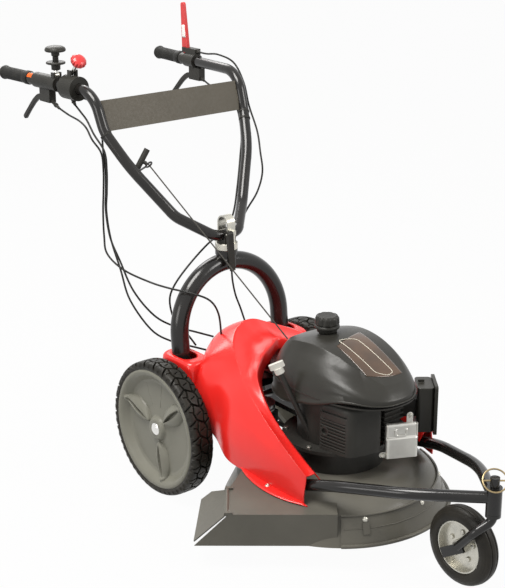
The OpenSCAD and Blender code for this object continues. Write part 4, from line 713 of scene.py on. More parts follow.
OUTLINE = Finish(
    "panel_outline", (0.66, 0.62, 0.52), (0.60, 0.56, 0.47), (0.28, 0.36),
    Grain.ENAMEL, scale=30, relief=400, bump=0.01)
WHITE = Finish(
    "white_plate", (0.80, 0.79, 0.76), (0.74, 0.73, 0.70), (0.30, 0.38),
    Grain.MOULDED, scale=30, relief=800, bump=0.03)
ROPE = Finish(
    "rope_dark", (0.035, 0.033, 0.029), (0.055, 0.052, 0.045), (0.55, 0.70),
    Grain.RUBBER, scale=90, fine=500, relief=1500, bump=0.2, slot="rope_fibre")


class Model:
    """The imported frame, with what every sub-assembly needs to add its pieces."""

    def __init__(self) -> None:
        """Loads the frame and notes which body carries each node."""
        self.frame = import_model()
        self.nodes = self.frame["nodes"]
        bodies = self.frame["record"]["behaviour"]["bodies"]
        self.body_of = {name: body for body, names in bodies.items() for name in names}
        self.made: list[str] = []

    def finish(self, piece: bpy.types.Object, finish: Finish) -> bpy.types.Object:
        """Gives a piece its material.

        Args:
            piece: The piece.
            finish: Its finish.
        Returns:
            The same piece.
        """
        piece.data.materials.clear()
        piece.data.materials.append(finish.material())
        return piece

    def add(self, piece: bpy.types.Object, finish: Finish, body: str,
            *nodes: str) -> bpy.types.Object:
        """Dresses a new piece and lets it ride on its body.

        Args:
            piece: The piece, at the origin.
            finish: Its finish.
            body: The body that carries it.
            nodes: The solids that it stands for.
        Returns:
            The piece.
        """
        self.finish(piece, finish)
        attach(piece, body)
        if nodes:
            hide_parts(*nodes)
        self.made.append(piece.name)
        return piece

    def solid(self, name: str, finish: Finish, bevel: float = 0.0) -> bpy.types.Object:
        """Copies a solid with its points merged, smooth faces and, if asked, softened edges.

        Args:
            name: The solid's name.
            finish: Its finish.
            bevel: Width of the softened edges in millimetres, or zero.
        Returns:
            The copy, which stands for the solid.
        """
        sharp, flat_angle, digits = 32.0, 0.6, 6
        source = self.nodes[name].data
        points = np.empty(len(source.vertices) * 3, np.float32)
        source.vertices.foreach_get("co", points)
        corners = np.empty(len(source.loops), np.int32)
        source.loops.foreach_get("vertex_index", corners)
        merged = np.round(points.reshape(-1, 3).astype(float), digits)
        keys, back = np.unique(merged, axis=0, return_inverse=True)
        faces = back.reshape(-1)[corners].reshape(-1, 3)
        whole = (faces != np.roll(faces, 1, axis=1)).all(1)
        piece = mesh_piece(f"{name}_dressed", keys, faces[whole], sharp)
        if bevel > 0:
            flat = piece.modifiers.new("flat", "DECIMATE")
            flat.decimate_type, flat.angle_limit = "DISSOLVE", math.radians(flat_angle)
            soften(piece, bevel, 2, sharp)
        return self.add(piece, finish, self.body_of[name], name)

    def dress(self, copied: tuple[tuple[Finish, float, str], ...],
              plain: tuple[tuple[Finish, str], ...] = ()) -> None:
        """Dresses solids as they are shaped.

        Args:
            copied: Rows of (finish, bevel, names of solids) that are copied and softened.
            plain: Rows of (finish, names of solids) that hardly show, only given their finish.
        """
        for finish, bevel, names in copied:
            for name in names.split():
                self.solid(name, finish, bevel)
        for finish, names in plain:
            for name in names.split():
                self.finish(self.nodes[name], finish)


@dataclass(frozen=True)
class Lamp:
    """A square soft lamp: place and target in the layout, size in metres, power in watts."""

    name: str
    where: Point
    target: Point
    size: float
    power: float
    tint: Colour = (1.0, 0.98, 0.95)


@dataclass
class Studio:
    """Camera, lamps, floor and world."""

    eye: Point = (-2263.7, -2809.4, 1724.0)
    right: Point = (0.7717, -0.6360, 0.0)
    up: Point = (0.2058, 0.2497, 0.9462)
    back: Point = (-0.6017, -0.7302, 0.3236)
    sensor: float = 36.0
    lens: float = 1444.15 / 588 * 36
    floor_half: float = 9.0
    floor_shade: float = 0.42
    floor_glow: float = 0.965
    sky_light: float = 0.34
    lamps: tuple[Lamp, ...] = (
        Lamp("key", (-1300, -100, 3300), (0, -200, 400), 1.5, 120),
        Lamp("fill", (1700, -2700, 2300), (0, -300, 400), 1.3, 52),
        Lamp("side", (-3000, -300, 1300), (0, -200, 300), 1.2, 22),
        Lamp("back", (900, 2600, 2700), (0, 0, 500), 1.5, 40, (1.0, 0.98, 0.96)))

    @staticmethod
    def stand(data: bpy.types.ID, axes: tuple[Array, Array, Array],
              where: Point) -> bpy.types.Object:
        """Links an object for a camera or lamp, turned to three axes, at a layout point.

        Args:
            data: Camera or lamp.
            axes: Its right, up and back directions.
            where: Layout point.
        Returns:
            The linked object.
        """
        made = bpy.data.objects.new(data.name, data)
        turn = np.eye(4)
        turn[:3, :3] = np.stack(axes, 1)
        turn[:3, 3] = place(where)
        made.matrix_world = Matrix(turn.tolist())
        bpy.context.scene.collection.objects.link(made)
        return made

    def camera(self) -> None:
        """Sets the camera at the photograph's angle."""
        data = bpy.data.cameras.new("view")
        data.lens, data.sensor_width = self.lens, self.sensor
        axes = unit(self.right), unit(self.up), unit(self.back)
        bpy.context.scene.camera = self.stand(data, axes, self.eye)

    def light(self, lamp: Lamp) -> None:
        """Adds a lamp that faces its target.

        Args:
            lamp: The lamp.
        """
        data = bpy.data.lights.new(lamp.name, "AREA")
        data.size, data.energy, data.color = lamp.size, lamp.power, lamp.tint
        back = unit(np.subtract(lamp.where, lamp.target))
        side = unit(np.cross(UP, back) + (1e-6, 0, 0))
        self.stand(data, (side, np.cross(back, side), back), lamp.where)

    @staticmethod
    def seen_white(tree: Tree) -> Socket:
        """Gives 1 for camera, glossy and transmission rays, and 0 for the rest.

        Args:
            tree: Node tree that takes the node.
        Returns:
            The share.
        """
        path = node(tree, "LightPath").outputs
        seen = maths(tree, "ADD", path["Is Camera Ray"], path["Is Glossy Ray"])
        return maths(tree, "ADD", seen, path["Is Transmission Ray"])

    def world(self) -> None:
        """Makes a world that looks pure white and lights the object more softly."""
        world = bpy.data.worlds.new("studio")
        bpy.context.scene.world = world
        world.use_nodes = True
        tree = world.node_tree
        sky = tree.nodes["Background"].inputs
        sky["Color"].default_value = (1.0, 1.0, 1.0, 1.0)
        strength = spread(tree, self.seen_white(tree), (0.0, 1.0), (self.sky_light, 1.0))
        link(tree, (strength.outputs[0], sky["Strength"]))

    def floor(self) -> None:
        """Makes the floor: white with a faint shadow where it is seen, grey for other rays."""
        corners = np.array([[-1, -1, 0], [1, -1, 0], [1, 1, 0], [-1, 1, 0]], float)
        floor = mesh_piece("floor", corners * self.floor_half, [[0, 1, 2, 3]])
        made = bpy.data.materials.new("floor_white")
        made.use_nodes = True
        tree = made.node_tree
        shader = tree.nodes["Principled BSDF"]
        shader.inputs["Base Color"].default_value = (self.floor_shade,) * 3 + (1.0,)
        shader.inputs["Roughness"].default_value = 0.9
        glow, mix = node(tree, "Emission"), node(tree, "MixShader")
        share = maths(tree, "MULTIPLY", self.seen_white(tree), self.floor_glow)
        link(tree, (share, mix.inputs[0]), (shader.outputs[0], mix.inputs[1]),
             (glow.outputs[0], mix.inputs[2]),
             (mix.outputs[0], tree.nodes["Material Output"].inputs["Surface"]))
        floor.data.materials.append(made)

    def build(self) -> None:
        """Makes world, floor and lamps."""
        self.world()
        self.floor()
        for lamp in self.lamps:
            self.light(lamp)
        bpy.context.scene.view_settings.view_transform = "Standard"


@dataclass
class Assembly:
    """A sub-assembly of the mower, which adds its pieces to the model."""

    model: Model


@dataclass
class Cords(Assembly):
    """Cables and starter rope, each split into an upper and a lower half."""

    cable_r: float = 2.6
    rope_r: float = 1.8
    steps: int = 8
    rope_steps: int = 49
    rope_meet: int = 30
    rope_out: Point = (-70.4068, -284.514, 463.4408)
    rope_eye: Point = (-140.867, 191.202, 826.24)
    pull: Point = (-0.59, 0.68, 0.435)
    stub: float = 8.0

    def routes(self) -> dict[str, tuple[list[list[float]], int]]:
        """Layout points of each cable from its lever down, and the point where its halves meet.

        Returns:
            Points and meeting point of each cable, by name.
        """
        return {
            "clutch_cable": ([
                [-250, 442, 950], [-247, 400, 938], [-247, 350, 930], [-256, 304, 920],
                [-259, 274, 895], [-247, 252, 862], [-244, 249, 815], [-246, 249, 760],
                [-250, 248, 708], [-252, 244, 642], [-260, 220, 600], [-242, 172, 564],
                [-200, 118, 536], [-176, 60, 528], [-150, 4, 524], [-116, -30, 506],
                [-86, -28, 462], [-68, -16, 396]], 9),
            "throttle_cable": ([
                [-226, 436, 984], [-220, 380, 984], [-214, 330, 976], [-210, 296, 944],
                [-220, 284, 912], [-236, 260, 872], [-237, 250, 815], [-238, 250, 760],
                [-241, 249, 708], [-236, 240, 636], [-228, 210, 578], [-220, 162, 504],
                [-186, 120, 440], [-140, 92, 406], [-90, 66, 386], [-46, 46, 368]], 9),
            "gear_cable": ([
                [-243, 380, 972], [-240, 352, 952], [-244, 318, 936], [-246, 284, 905],
                [-242, 244, 866], [-240, 239, 815], [-242, 239, 760], [-246, 238, 708],
                [-242, 228, 636], [-240, 190, 560], [-236, 156, 484], [-196, 120, 402],
                [-150, 94, 366], [-100, 70, 346], [-60, 54, 330]], 8),
            "drive_cable": ([
                [250, 468, 966], [244, 420, 954], [240, 360, 948], [238, 318, 932],
                [234, 284, 900], [208, 238, 846], [176, 204, 800], [130, 160, 730],
                [76, 112, 672], [28, 92, 634], [-22, 90, 616], [-95, 84, 570],
                [-145, 84, 522], [-160, 84, 482], [-148, 78, 426], [-116, 66, 384],
                [-96, 58, 352]], 9),
            "safety_cable": ([
                [254, 493, 1040], [254, 450, 1040], [256, 400, 1044], [256, 330, 1030],
                [256, 286, 980], [252, 258, 920], [238, 206, 860], [216, 166, 812],
                [207, 146, 760], [182, 138, 710], [140, 132, 668], [92, 108, 636],
                [64, 90, 610], [50, 84, 560], [46, 80, 510], [52, 74, 460],
                [62, 64, 420], [72, 52, 372]], 11),
        }

    def half(self, name: str, path: Array, radius: float, bodies: tuple[str, str],
             finish: Finish, solid: str, bend: tuple[int, int], lay: str = "hanging",
             with_pieces: tuple[bpy.types.Object, ...] = ()) -> bpy.types.Object:
        """Makes one half of a cord as a tube.

        Args:
            name: Piece name.
            path: Row-frame points.
            radius: Tube radius in millimetres.
            bodies: Not used.
            finish: Its finish.
            solid: The solid that it stands for.
            bend: Not used.
            lay: How it lies; a stub is part of another cord.
            with_pieces: Not used.
        Returns:
            The tube.
        """
        piece = mesh_piece(name, *tube(path, radius / MM, 12), 60)
        self.model.finish(piece, finish)
        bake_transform(piece)
        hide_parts(solid)
        self.model.made.append(name)
        if lay == "stub":
            return piece
        return piece

    def build(self) -> None:
        """Makes every cable's halves and the rope."""
        for name, (points, meet) in self.routes().items():
            path = place(spline(points, self.steps))
            cut = meet * self.steps
            solid = "left_cables" if points[0][0] > 0 else "right_cables"
            upper, lower = path[:cut + 1], path[cut:]
            self.half(f"{name}_upper", upper, self.cable_r, ("handlebar", "swivel_head"),
                      CABLE, solid, (len(upper) // 2, len(upper) - 2))
            self.half(f"{name}_lower", lower, self.cable_r, ("swivel_head", "chassis"),
                      CABLE, solid, (1, max(len(lower) // 2, 3)))
        self.rope()

    def rope(self) -> None:
        """Makes the taut rope: engine to head, head to eye, and a stub that follows the pull."""
        eye = np.array(self.rope_eye)
        path = eye + (self.rope_out - eye) * np.linspace(0, 1, self.rope_steps)[:, None]
        path = place(path)
        stub = place(eye + unit(self.pull) * np.linspace(0.0, self.stub, 24)[:, None])
        meet, solid = self.rope_meet, "starter_rope"
        self.half("starter_rope_lower", path[meet:], self.rope_r,
                  ("swivel_head", "chassis"), ROPE, solid, (1, 17), "taut")
        end = self.half("starter_rope_end", stub, self.rope_r,
                        ("handlebar", "starter_handle"), ROPE, solid, (2, 21), "stub")
        self.half("starter_rope_upper", path[:meet + 1], self.rope_r,
                  ("handlebar", "swivel_head"), ROPE, solid, (2, meet - 1), "taut", (end,))


@dataclass
class Wheels(Assembly):
    """Rear wheels with lugged tyres and leaf-spoked rims, and the front wheel.

    Lengths are in millimetres; inner and outer are distances from the middle plane.
    """

    inner: float = 218.5
    outer: float = 283.5
    tyre_r: float = 180.0
    rim_r: float = 161.0
    axle_z: float = 180.0
    lug_depth: float = 7.5
    pitches: int = 27
    side_lugs: int = 54
    around: int = 1080
    groove_wave: float = 0.17
    ring_at: float = 0.36
    ring_wave: float = 0.09
    slit_at: float = 0.62
    slit_half: float = 0.17
    slit_share: float = 0.55
    notch_half: float = 0.22
    shoulder: float = 0.9
    shoulder_share: float = 0.4
    leaves: int = 3
    leaf_turn: float = 50.0
    leaf_mid: float = 90.0
    leaf_reach: float = 56.0
    leaf_half: float = 29.0
    leaf_rise: float = 15.5
    slot_reach: float = 46.0
    slot_half: float = 5.4
    crease_turns: tuple[float, float] = (44.0, 76.0)
    caster_at: Point = (0.0, -829.0, 97.0)
    caster_half: float = 23.0
    bolt_ring: float = 34.0
    bolts: int = 5

    def tread_cut(self, u: Array, turn: Array, half: float) -> Array:
        """Depth share of the tread's grooves and slits, by place across (-1 to 1) and angle.

        Args:
            u: Place across the tread, from -1 to 1.
            turn: Angle round the axle.
            half: Half the tyre's width.
        Returns:
            Depth share.
        """
        phase = turn * self.pitches / FULL
        pitch = FULL * self.tyre_r / self.pitches
        away = pitch
        across = np.abs(wrapped(phase + self.groove_wave * zigzag(0.75 * u + 0.25))) * pitch
        near = np.abs(u - self.ring_at - self.ring_wave * zigzag(phase))
        far = np.abs(u + self.ring_at - self.ring_wave * zigzag(phase + 0.5))
        ring = np.minimum(near, far) * half
        slit = np.abs(wrapped(phase + 0.5 + 0.25 * u)) * pitch
        slit = slit + away * (np.abs(np.abs(u) - self.slit_at) > self.slit_half)
        notch = np.abs(wrapped(phase + 0.5 - 0.3 * u)) * pitch
        notch = notch + away * (np.abs(u) > self.notch_half)
        groove = 1 - ramp(across, 1.7, 3.0) * ramp(ring, 1.3, 2.4)
        narrow = self.slit_share * (1 - ramp(np.minimum(slit, notch), 0.9, 1.7))
        cut = np.maximum(groove, narrow)
        return np.where(np.abs(u) > self.shoulder, cut * self.shoulder_share, cut)

    def tyre_points(self) -> tuple[Array, list[Array]]:
        """Lugged tyre: a rounded section carried round the axle, cut by zigzag grooves and slits.

        Returns:
            Points as (x, cosine part, sine part) about the axle, and faces.
        """
        half, mid = (self.outer - self.inner) / 2, (self.outer + self.inner) / 2
        wall = np.array([[-half + 3, self.rim_r - 1.5], [-half + 0.6, self.rim_r + 3],
                         [-half, self.rim_r + 8]])
        tread = np.linspace(-1, 1, 61)
        crown = np.stack([tread * half, self.tyre_r - 9.0 * np.abs(tread) ** 6], 1)
        section = np.concatenate([wall, crown[1:-1], wall[::-1] * [-1, 1]])
        turn = angles(self.around)
        across, r = section[:, 0][:, None], section[:, 1][:, None]
        u = across / half
        cut = self.tread_cut(u, turn[None, :], half)
        lug = 1 - ramp(0.5 + 0.5 * np.cos(self.side_lugs * turn)[None, :], 0.35, 0.65)
        flank = ramp(np.abs(u), 0.86, 0.97) * ramp(r, self.rim_r + 4, self.rim_r + 11)
        radius = r - self.lug_depth * cut * ramp(r, self.rim_r + 8, self.rim_r + 14)
        radius = radius - 3.4 * flank * lug
        x = mid + across * (1 - 0.045 * flank * lug)
        points = np.stack(np.broadcast_arrays(x, radius * np.cos(turn), radius * np.sin(turn)), -1)
        return points.reshape(-1, 3), list(cells(len(section), self.around, True, True))

    def leaf(self, along: Array, side: Array) -> tuple[Array, Array]:
        """One raised leaf of the rim: a pod between two arcs with an edge line, and its slot.

        Args:
            along: Distance from the axle along the leaf's middle line.
            side: Distance from that line.
        Returns:
            Rise of the pod, and share of the slot that cuts it.
        """
        reach = 1 - np.clip((along - self.leaf_mid) / self.leaf_reach, -1, 1) ** 2
        width = self.leaf_half * np.clip(reach, 0, 1) ** 0.8
        body = np.clip(1 - (np.abs(side) / np.maximum(width, 1e-3)) ** 2.2, 0, 1) ** 0.8
        pod = self.leaf_rise * body * np.clip(reach, 0, 1) ** 0.35 * (width > 0.5)
        slot = np.clip(1 - ((along - self.leaf_mid) / self.slot_reach) ** 2, 0, 1)
        slot = self.slot_half * slot
        gap = ramp(slot - np.abs(side), -0.8, 1.0) * (slot > 0.3)
        line = 1.4 * (1 - ramp(np.abs(np.abs(side) - width), 0.6, 2.4)) * (width > 2)
        return pod - line, gap

    def rim_points(self) -> tuple[Array, list[Array]]:
        """Rim: a dished face with raised leaves, slots and creases, closed by its barrel and back.

        Returns:
            Points as (x, cosine part, sine part) about the axle, and faces.
        """
        front, back = self.outer, self.inner + 3
        face_r = np.concatenate([np.linspace(9, 30, 8), np.linspace(32, 128, 66),
                                 np.linspace(130, self.rim_r, 20)])
        depth = np.interp(
            face_r, [0, 24, 28, 34, 60, 122, 130, 144, 149, 154, 158.5, self.rim_r],
            [-7.2, -7.2, -9.0, -18.5, -21.5, -22.5, -20.5, -5.0, -1.6, -0.5, -1.4, -4.4])
        rear_r = np.array([self.rim_r, self.rim_r, 147, 146, 146, 60, 27, 27, 9])
        rear_x = np.array([front - 6, back, back, self.inner + 5, front - 29, front - 29,
                           front - 31, back, back])
        turn = angles(720)
        r, a = face_r[:, None], turn[None, :]
        lift = np.zeros((len(face_r), len(turn)))
        for k in range(self.leaves):
            lean = math.radians(self.leaf_turn + 360 / self.leaves * k)
            pod, gap = self.leaf(r * np.cos(a - lean), r * np.sin(a - lean))
            lift = np.maximum(lift, pod * (1 - gap) - gap * 1.5)
            for crease in self.crease_turns:
                line = math.radians(crease) + lean
                off = np.abs(r * np.sin(a - line)) + 90 * (np.cos(a - line) < 0)
                lift = lift - 0.9 * (1 - ramp(off, 0.5, 1.1)) * window(r, 52, 120, 6)
        lift = lift * (1 - ramp(r, 136, 146)) * ramp(r, 30, 38)
        rear = np.ones_like(a)
        x = np.concatenate([front + depth[:, None] + lift, rear_x[:, None] * rear])
        radius = np.concatenate([face_r, rear_r])[:, None]
        points = np.stack(np.broadcast_arrays(x, radius * np.cos(a), radius * np.sin(a)), -1)
        return points.reshape(-1, 3), list(cells(len(x), len(turn), True, True))

    def cap_points(self) -> tuple[Array, list[Array]]:
        """Domed hub cap: a parabola over its radius, turned about the axle.

        Returns:
            Points as (x, cosine part, sine part) about the axle, and faces.
        """
        t = np.linspace(0, 1, 10)
        dome = np.stack([self.outer - 7.0 + 6.5 * (1 - t**2), 0.2 + 16.6 * t], 1)
        section = np.concatenate([dome, [[self.outer - 8.4, 16.9], [self.outer - 8.8, 16.0]]])
        turn = angles(64)
        x, r = section[:, 0][:, None], section[:, 1][:, None]
        points = np.stack(np.broadcast_arrays(x, r * np.cos(turn), r * np.sin(turn)), -1)
        return points.reshape(-1, 3), capped(len(section), len(turn))

    def set_on(self, points: Array, sign: float) -> Array:
        """Puts wheel points on the axle of one side: cosine parts run up and sine parts forward."""
        return place(np.stack([sign * points[:, 0], -points[:, 2], self.axle_z + points[:, 1]], 1))

    def build(self) -> None:
        """Makes both rear wheels and the front wheel."""
        parts = (("tyre", self.tyre_points(), TYRE, 34.0), ("rim", self.rim_points(), RIM, 50.0),
                 ("hub_cap", self.cap_points(), CHROME, 50.0))
        for side, sign in SIDES:
            for label, (points, faces), finish, sharp in parts:
                name = f"{side}_{label}"
                piece = mesh_piece(f"{name}_dressed", self.set_on(points, sign), faces, sharp)
                self.model.add(outward(piece), finish, f"{side}_wheel", name)
        self.front()

    def front(self) -> None:
        """Front wheel: a ribbed tyre turned about its axle, a rim with bolts, and the fork."""
        half = self.caster_half
        left = np.array([
            [-half + 3, 63.6], [-half + 0.4, 67], [-half, 76], [-half + 1.6, 84], [-half + 3, 85.5],
            [-half + 3.6, 87.6], [-half + 6, 91.5], [-half + 10, 94.6], [-9, 95.6], [-8.4, 93.6],
            [-7.2, 93.6], [-6.6, 96.1], [0, 97.0]])
        section = rounded(np.concatenate([left, left[-2::-1] * [-1, 1]]), 1.2, 3)
        points, faces = lathe(section, self.caster_at, (1, 0, 0), 128)
        tyre = outward(mesh_piece("caster_tyre_dressed", points, faces[:-2], 40))
        self.model.add(tyre, TYRE, "caster_wheel", "caster_tyre")
        self.model.solid("caster_rim", ZINC, 0.8)
        head = rounded([[0, 0.2], [0, 6.4], [3.4, 6.4], [4.2, 5.4], [4.2, 0.2]], 0.5, 2)
        for k in range(self.bolts):
            turn = FULL * k / self.bolts + 0.3
            ring = self.bolt_ring * math.cos(turn), self.bolt_ring * math.sin(turn)
            for label, sign in (("near", -1.0), ("far", 1.0)):
                where = np.add(self.caster_at, (sign * 4.0, *ring))
                bolt = turned(f"caster_bolt_{k}_{label}", head, where, (sign, 0, 0), 6, 25)
                self.model.add(bolt, ZINC, "caster_wheel")
        self.model.solid("caster_fork", TUBE)
        self.model.solid("lynch_pin", BRASS)


@dataclass
class Body(Assembly):
    """Deck, chute, fairing and frame.

    The first three sizes scale the fairing's sections; all are in millimetres.
    """

    half_w: float = 219.0
    reach: float = 518.0
    height: float = 431.0
    wall: float = 3.0
    chute_corner: Point = (-182.096, -596.949, 141.0)
    chute_turn: float = 140.3
    chute_tilt: float = -8.7
    foot_twist: float = -47.6
    foot_chord: float = 226.0
    foot_rise: float = 28.0
    foot_half: float = 122.0
    engine_y: float = -394.0

    def fairing_grid(self) -> Array:
        """Fairing surface: nine listed sections per half, joined by smooth curves.

        The strip inside the top's edge sinks by a parabola, and both its edges are rounded.

        Returns:
            Grid of layout points, sections along the first axis and outline along the second.
        """
        shares = np.array([
            [[1, 1, 0.346], [1, 1, 0.4], [0.98, 1, 0.46],
             [0.97, 1, 0.51], [0.84, 1, 0.51], [0.76, 1, 0.46]],
            [[1.05, 0.87, 0.362], [1.06, 0.87, 0.44], [1.045, 0.87, 0.54],
             [1, 0.86, 0.63], [0.84, 0.87, 0.59], [0.77, 0.87, 0.55]],
            [[1.08, 0.695, 0.386], [1.09, 0.695, 0.5], [1.05, 0.69, 0.63],
             [0.945, 0.69, 0.725], [0.81, 0.675, 0.735], [0.75, 0.675, 0.68]],
            [[1.08, 0.49, 0.4], [1.08, 0.49, 0.555], [0.985, 0.485, 0.72],
             [0.81, 0.48, 0.825], [0.675, 0.505, 0.86], [0.62, 0.515, 0.8]],
            [[0.945, 0.32, 0.45], [0.94, 0.31, 0.61], [0.84, 0.295, 0.78],
             [0.575, 0.29, 0.9], [0.42, 0.4, 0.905], [0.385, 0.41, 0.84]],
            [[0.93, 0.165, 0.535], [0.915, 0.16, 0.695], [0.765, 0.145, 0.84],
             [0.425, 0.19, 0.935], [0.275, 0.365, 0.933], [0.245, 0.38, 0.868]],
            [[0.64, 0.01, 0.56], [0.62, 0.015, 0.72], [0.51, 0.04, 0.87],
             [0.255, 0.115, 0.965], [0.145, 0.345, 0.95], [0.13, 0.355, 0.885]],
            [[0.32, -0.115, 0.57], [0.3, -0.095, 0.74], [0.24, -0.035, 0.9],
             [0.11, 0.09, 0.995], [0.065, 0.33, 0.963], [0.06, 0.34, 0.898]],
            [[0, -0.145, 0.57], [0, -0.12, 0.745], [0, -0.045, 0.915],
             [0, 0.08, 1], [0, 0.32, 0.965], [0, 0.335, 0.9]]])
        half = shares * [-self.half_w, -self.reach, self.height]
        lines = spline(np.concatenate([half, half[-2::-1] * [-1, 1, 1]]), 10)
        outer = np.swapaxes(spline(np.swapaxes(lines[:, :4], 0, 1), 8), 0, 1)
        top, rim = lines[:, 3], lines[:, 4]
        normal = unit(np.cross(np.gradient(top, axis=0), rim - top))
        inward = np.where(normal[:, 2:] > 0, -1.0, 1.0)
        sink = 0.10 * np.linalg.norm(rim - top, axis=1, keepdims=True) * inward
        dip = [top + (rim - top) * t + normal * sink * 4 * t * (1 - t)
               for t in (0.2, 0.4, 0.6, 0.8)]
        line = np.concatenate([outer, np.stack(dip, 1), lines[:, 4:]], 1)
        crease, edge = outer.shape[1] - 1, outer.shape[1] + 4
        t = np.linspace(0, 1, 5)[None, :, None]
        knees = []
        for k, before, after in ((crease, 0.35, 0.35), (edge, 0.35, 0.25)):
            a = line[:, k] + (line[:, k - 1] - line[:, k]) * before
            b = line[:, k] + (line[:, k + 1] - line[:, k]) * after
            knees.append(bezier(a[:, None], line[:, k][:, None], b[:, None], t))
        rows = [line[:, :crease], knees[0], line[:, crease + 1:edge], knees[1], line[:, -1:]]
        return np.concatenate(rows, 1)

    def fairing(self) -> None:
        """Makes the fairing's shell and its crescent foot on the chute's roof."""
        shell = upward(sheet("fairing_shell", self.fairing_grid(), 60))
        self.model.add(walled(shell, self.wall, 0.9), RED, "chassis", "fairing")
        self.crescent()

    def crescent(self) -> None:
        """Crescent foot: rows from a chord to an arc, domed a little, and its screw."""
        turn, tilt, twist = np.radians((self.chute_turn, self.chute_tilt, self.foot_twist))
        along = np.array([math.cos(turn), math.sin(turn), 0.0])
        down = np.array([-math.sin(turn) * math.cos(tilt), math.cos(turn) * math.cos(tilt),
                         math.sin(tilt)])
        normal = np.cross(along, down)
        origin = np.array(self.chute_corner) + 156 * along - 116 * down
        ex = math.cos(twist) * along + math.sin(twist) * down
        ey = -math.sin(twist) * along + math.cos(twist) * down
        rise, end, low = self.foot_rise, self.foot_half, -6
        radius = (self.foot_chord**2 / 4 + rise**2) / (2 * rise)
        a, t = np.meshgrid(np.linspace(-end, end, 60), np.linspace(0, 1, 16), indexing="ij")
        b = low + (rise - radius + np.sqrt(radius**2 - a**2) - low) * t
        dome = 3.2 + 3.0 * np.sqrt(np.clip(1 - t**4, 0, 1)) * ramp(end - np.abs(a), 0, 26)
        grid = origin + a[..., None] * ex + b[..., None] * ey + dome[..., None] * normal
        foot = upward(sheet("fairing_foot", grid, 60))
        self.model.add(walled(foot, self.wall, 0.8), RED, "chassis")
        at = origin + 1.0 * ex + 10.0 * ey
        seat = rounded([[4.4, 10.4], [6.9, 10.4], [7.1, 8.6], [5.0, 7.4], [4.6, 7.2]], 0.6, 3)
        self.model.add(turned("foot_screw_seat", seat, at, normal, 48, 50), RED, "chassis")
        head = rounded([[4.0, 0.2], [4.0, 6.0], [6.4, 6.0], [8.0, 4.4], [8.2, 2.6], [6.6, 2.4],
                        [6.6, 0.2]], 0.6, 3)
        self.model.add(turned("foot_screw", head, at, normal, 32, 40), ZINC, "chassis")

    def on_skirt(self, turn: Array, z: Array, proud: float) -> Array:
        """Points on the front skirt, a cone about the engine's axis, by degrees and height.

        Args:
            turn: Angle in degrees.
            z: Height.
            proud: Distance outside the skirt.
        Returns:
            Layout points.
        """
        r = 285.6 - 33.3 * (np.asarray(z, float) - 59) / 69 + proud
        a = np.radians(turn)
        return np.stack(np.broadcast_arrays(r * np.cos(a), self.engine_y + r * np.sin(a), z), -1)

    def skirt_trim(self) -> None:
        """Front skirt's pressed crease, its small bracket and the screws along its top."""
        crease = place(self.on_skirt(np.linspace(231.5, 346.5, 160), 99.0, 0.2))
        self.model.add(mesh_piece("skirt_crease", *tube(crease, 0.0012, 8), 70), GREY, "chassis")
        a, z = np.meshgrid(np.linspace(241.2, 244.8, 12), np.linspace(86, 112, 14), indexing="ij")
        plate = sheet("skirt_bracket", self.on_skirt(a, z, 1.6), 50, flip=True)
        self.model.add(walled(plate, 1.2, 0.3), GREY, "chassis")
        head = rounded([[-1, 0.2], [-1, 6.5], [1.2, 6.5], [1.6, 5.2], [3.6, 4.6], [4.8, 2.6],
                        [5.0, 0.2]], 0.5, 3)
        out, up = 0.9006, 0.4346
        for k, angle in enumerate((242.9, 281.0, 319.0)):
            a = math.radians(angle)
            way, at = (out * math.cos(a), out * math.sin(a), up), self.on_skirt(angle, 118.0, 0.2)
            self.model.add(turned(f"skirt_screw_{k}", head, at, way, 32, 40), ZINC, "chassis")

    def pillars(self) -> None:
        """Hoop foot covers: rounded-rectangle rings that narrow upwards and close on the tube."""
        turn = angles(96)[None, :]
        rows = np.array([[232, 46, 76], [262, 45, 74], [300, 43.5, 70], [336, 42, 66.5],
                         [350, 41, 65], [355, 39.5, 63.5], [358, 36.5, 60.5], [359, 32, 56],
                         [358.4, 27, 34], [354, 26, 27]])
        z, half_x, half_y = (rows[:, k:k + 1] for k in range(3))
        c, s = np.cos(turn), np.sin(turn)
        power = np.interp(z, [232, 350, 358.5, 359], [0.38, 0.45, 0.6, 0.8])
        power[-2:] = [[0.8], [1.0]]
        y = 4 + np.linspace(0, 1.6, len(rows))[:, None] + half_y * np.sign(s) * np.abs(s) ** power
        for side, sign in SIDES:
            x = sign * (167 + half_x * np.sign(c) * np.abs(c) ** power)
            grid = np.stack(np.broadcast_arrays(x, y, z), -1)
            shell = upward(sheet(f"hoop_foot_{side}", grid, 50, wrap=True))
            self.model.add(walled(shell, 2.4), RED, "chassis", "hoop_foot_covers")

    def build(self) -> None:
        """Makes the fairing and dresses the deck, chute, hoop and frame."""
        self.fairing()
        self.pillars()
        self.skirt_trim()
        self.model.dress(((GREY, 0.0, "deck_shell front_skirt discharge_chute chute_flap"),
                     (TUBE, 0.0, "hoop front_wishbone"), (TUBE, 0.8, "rear_chassis"),
                     (ALLOY, 1.0, "gearbox_housing")),
                    ((RUBBER, "drive_belt"),
                     (STEEL, "input_shaft drive_axle idler_arm blade crankshaft")))


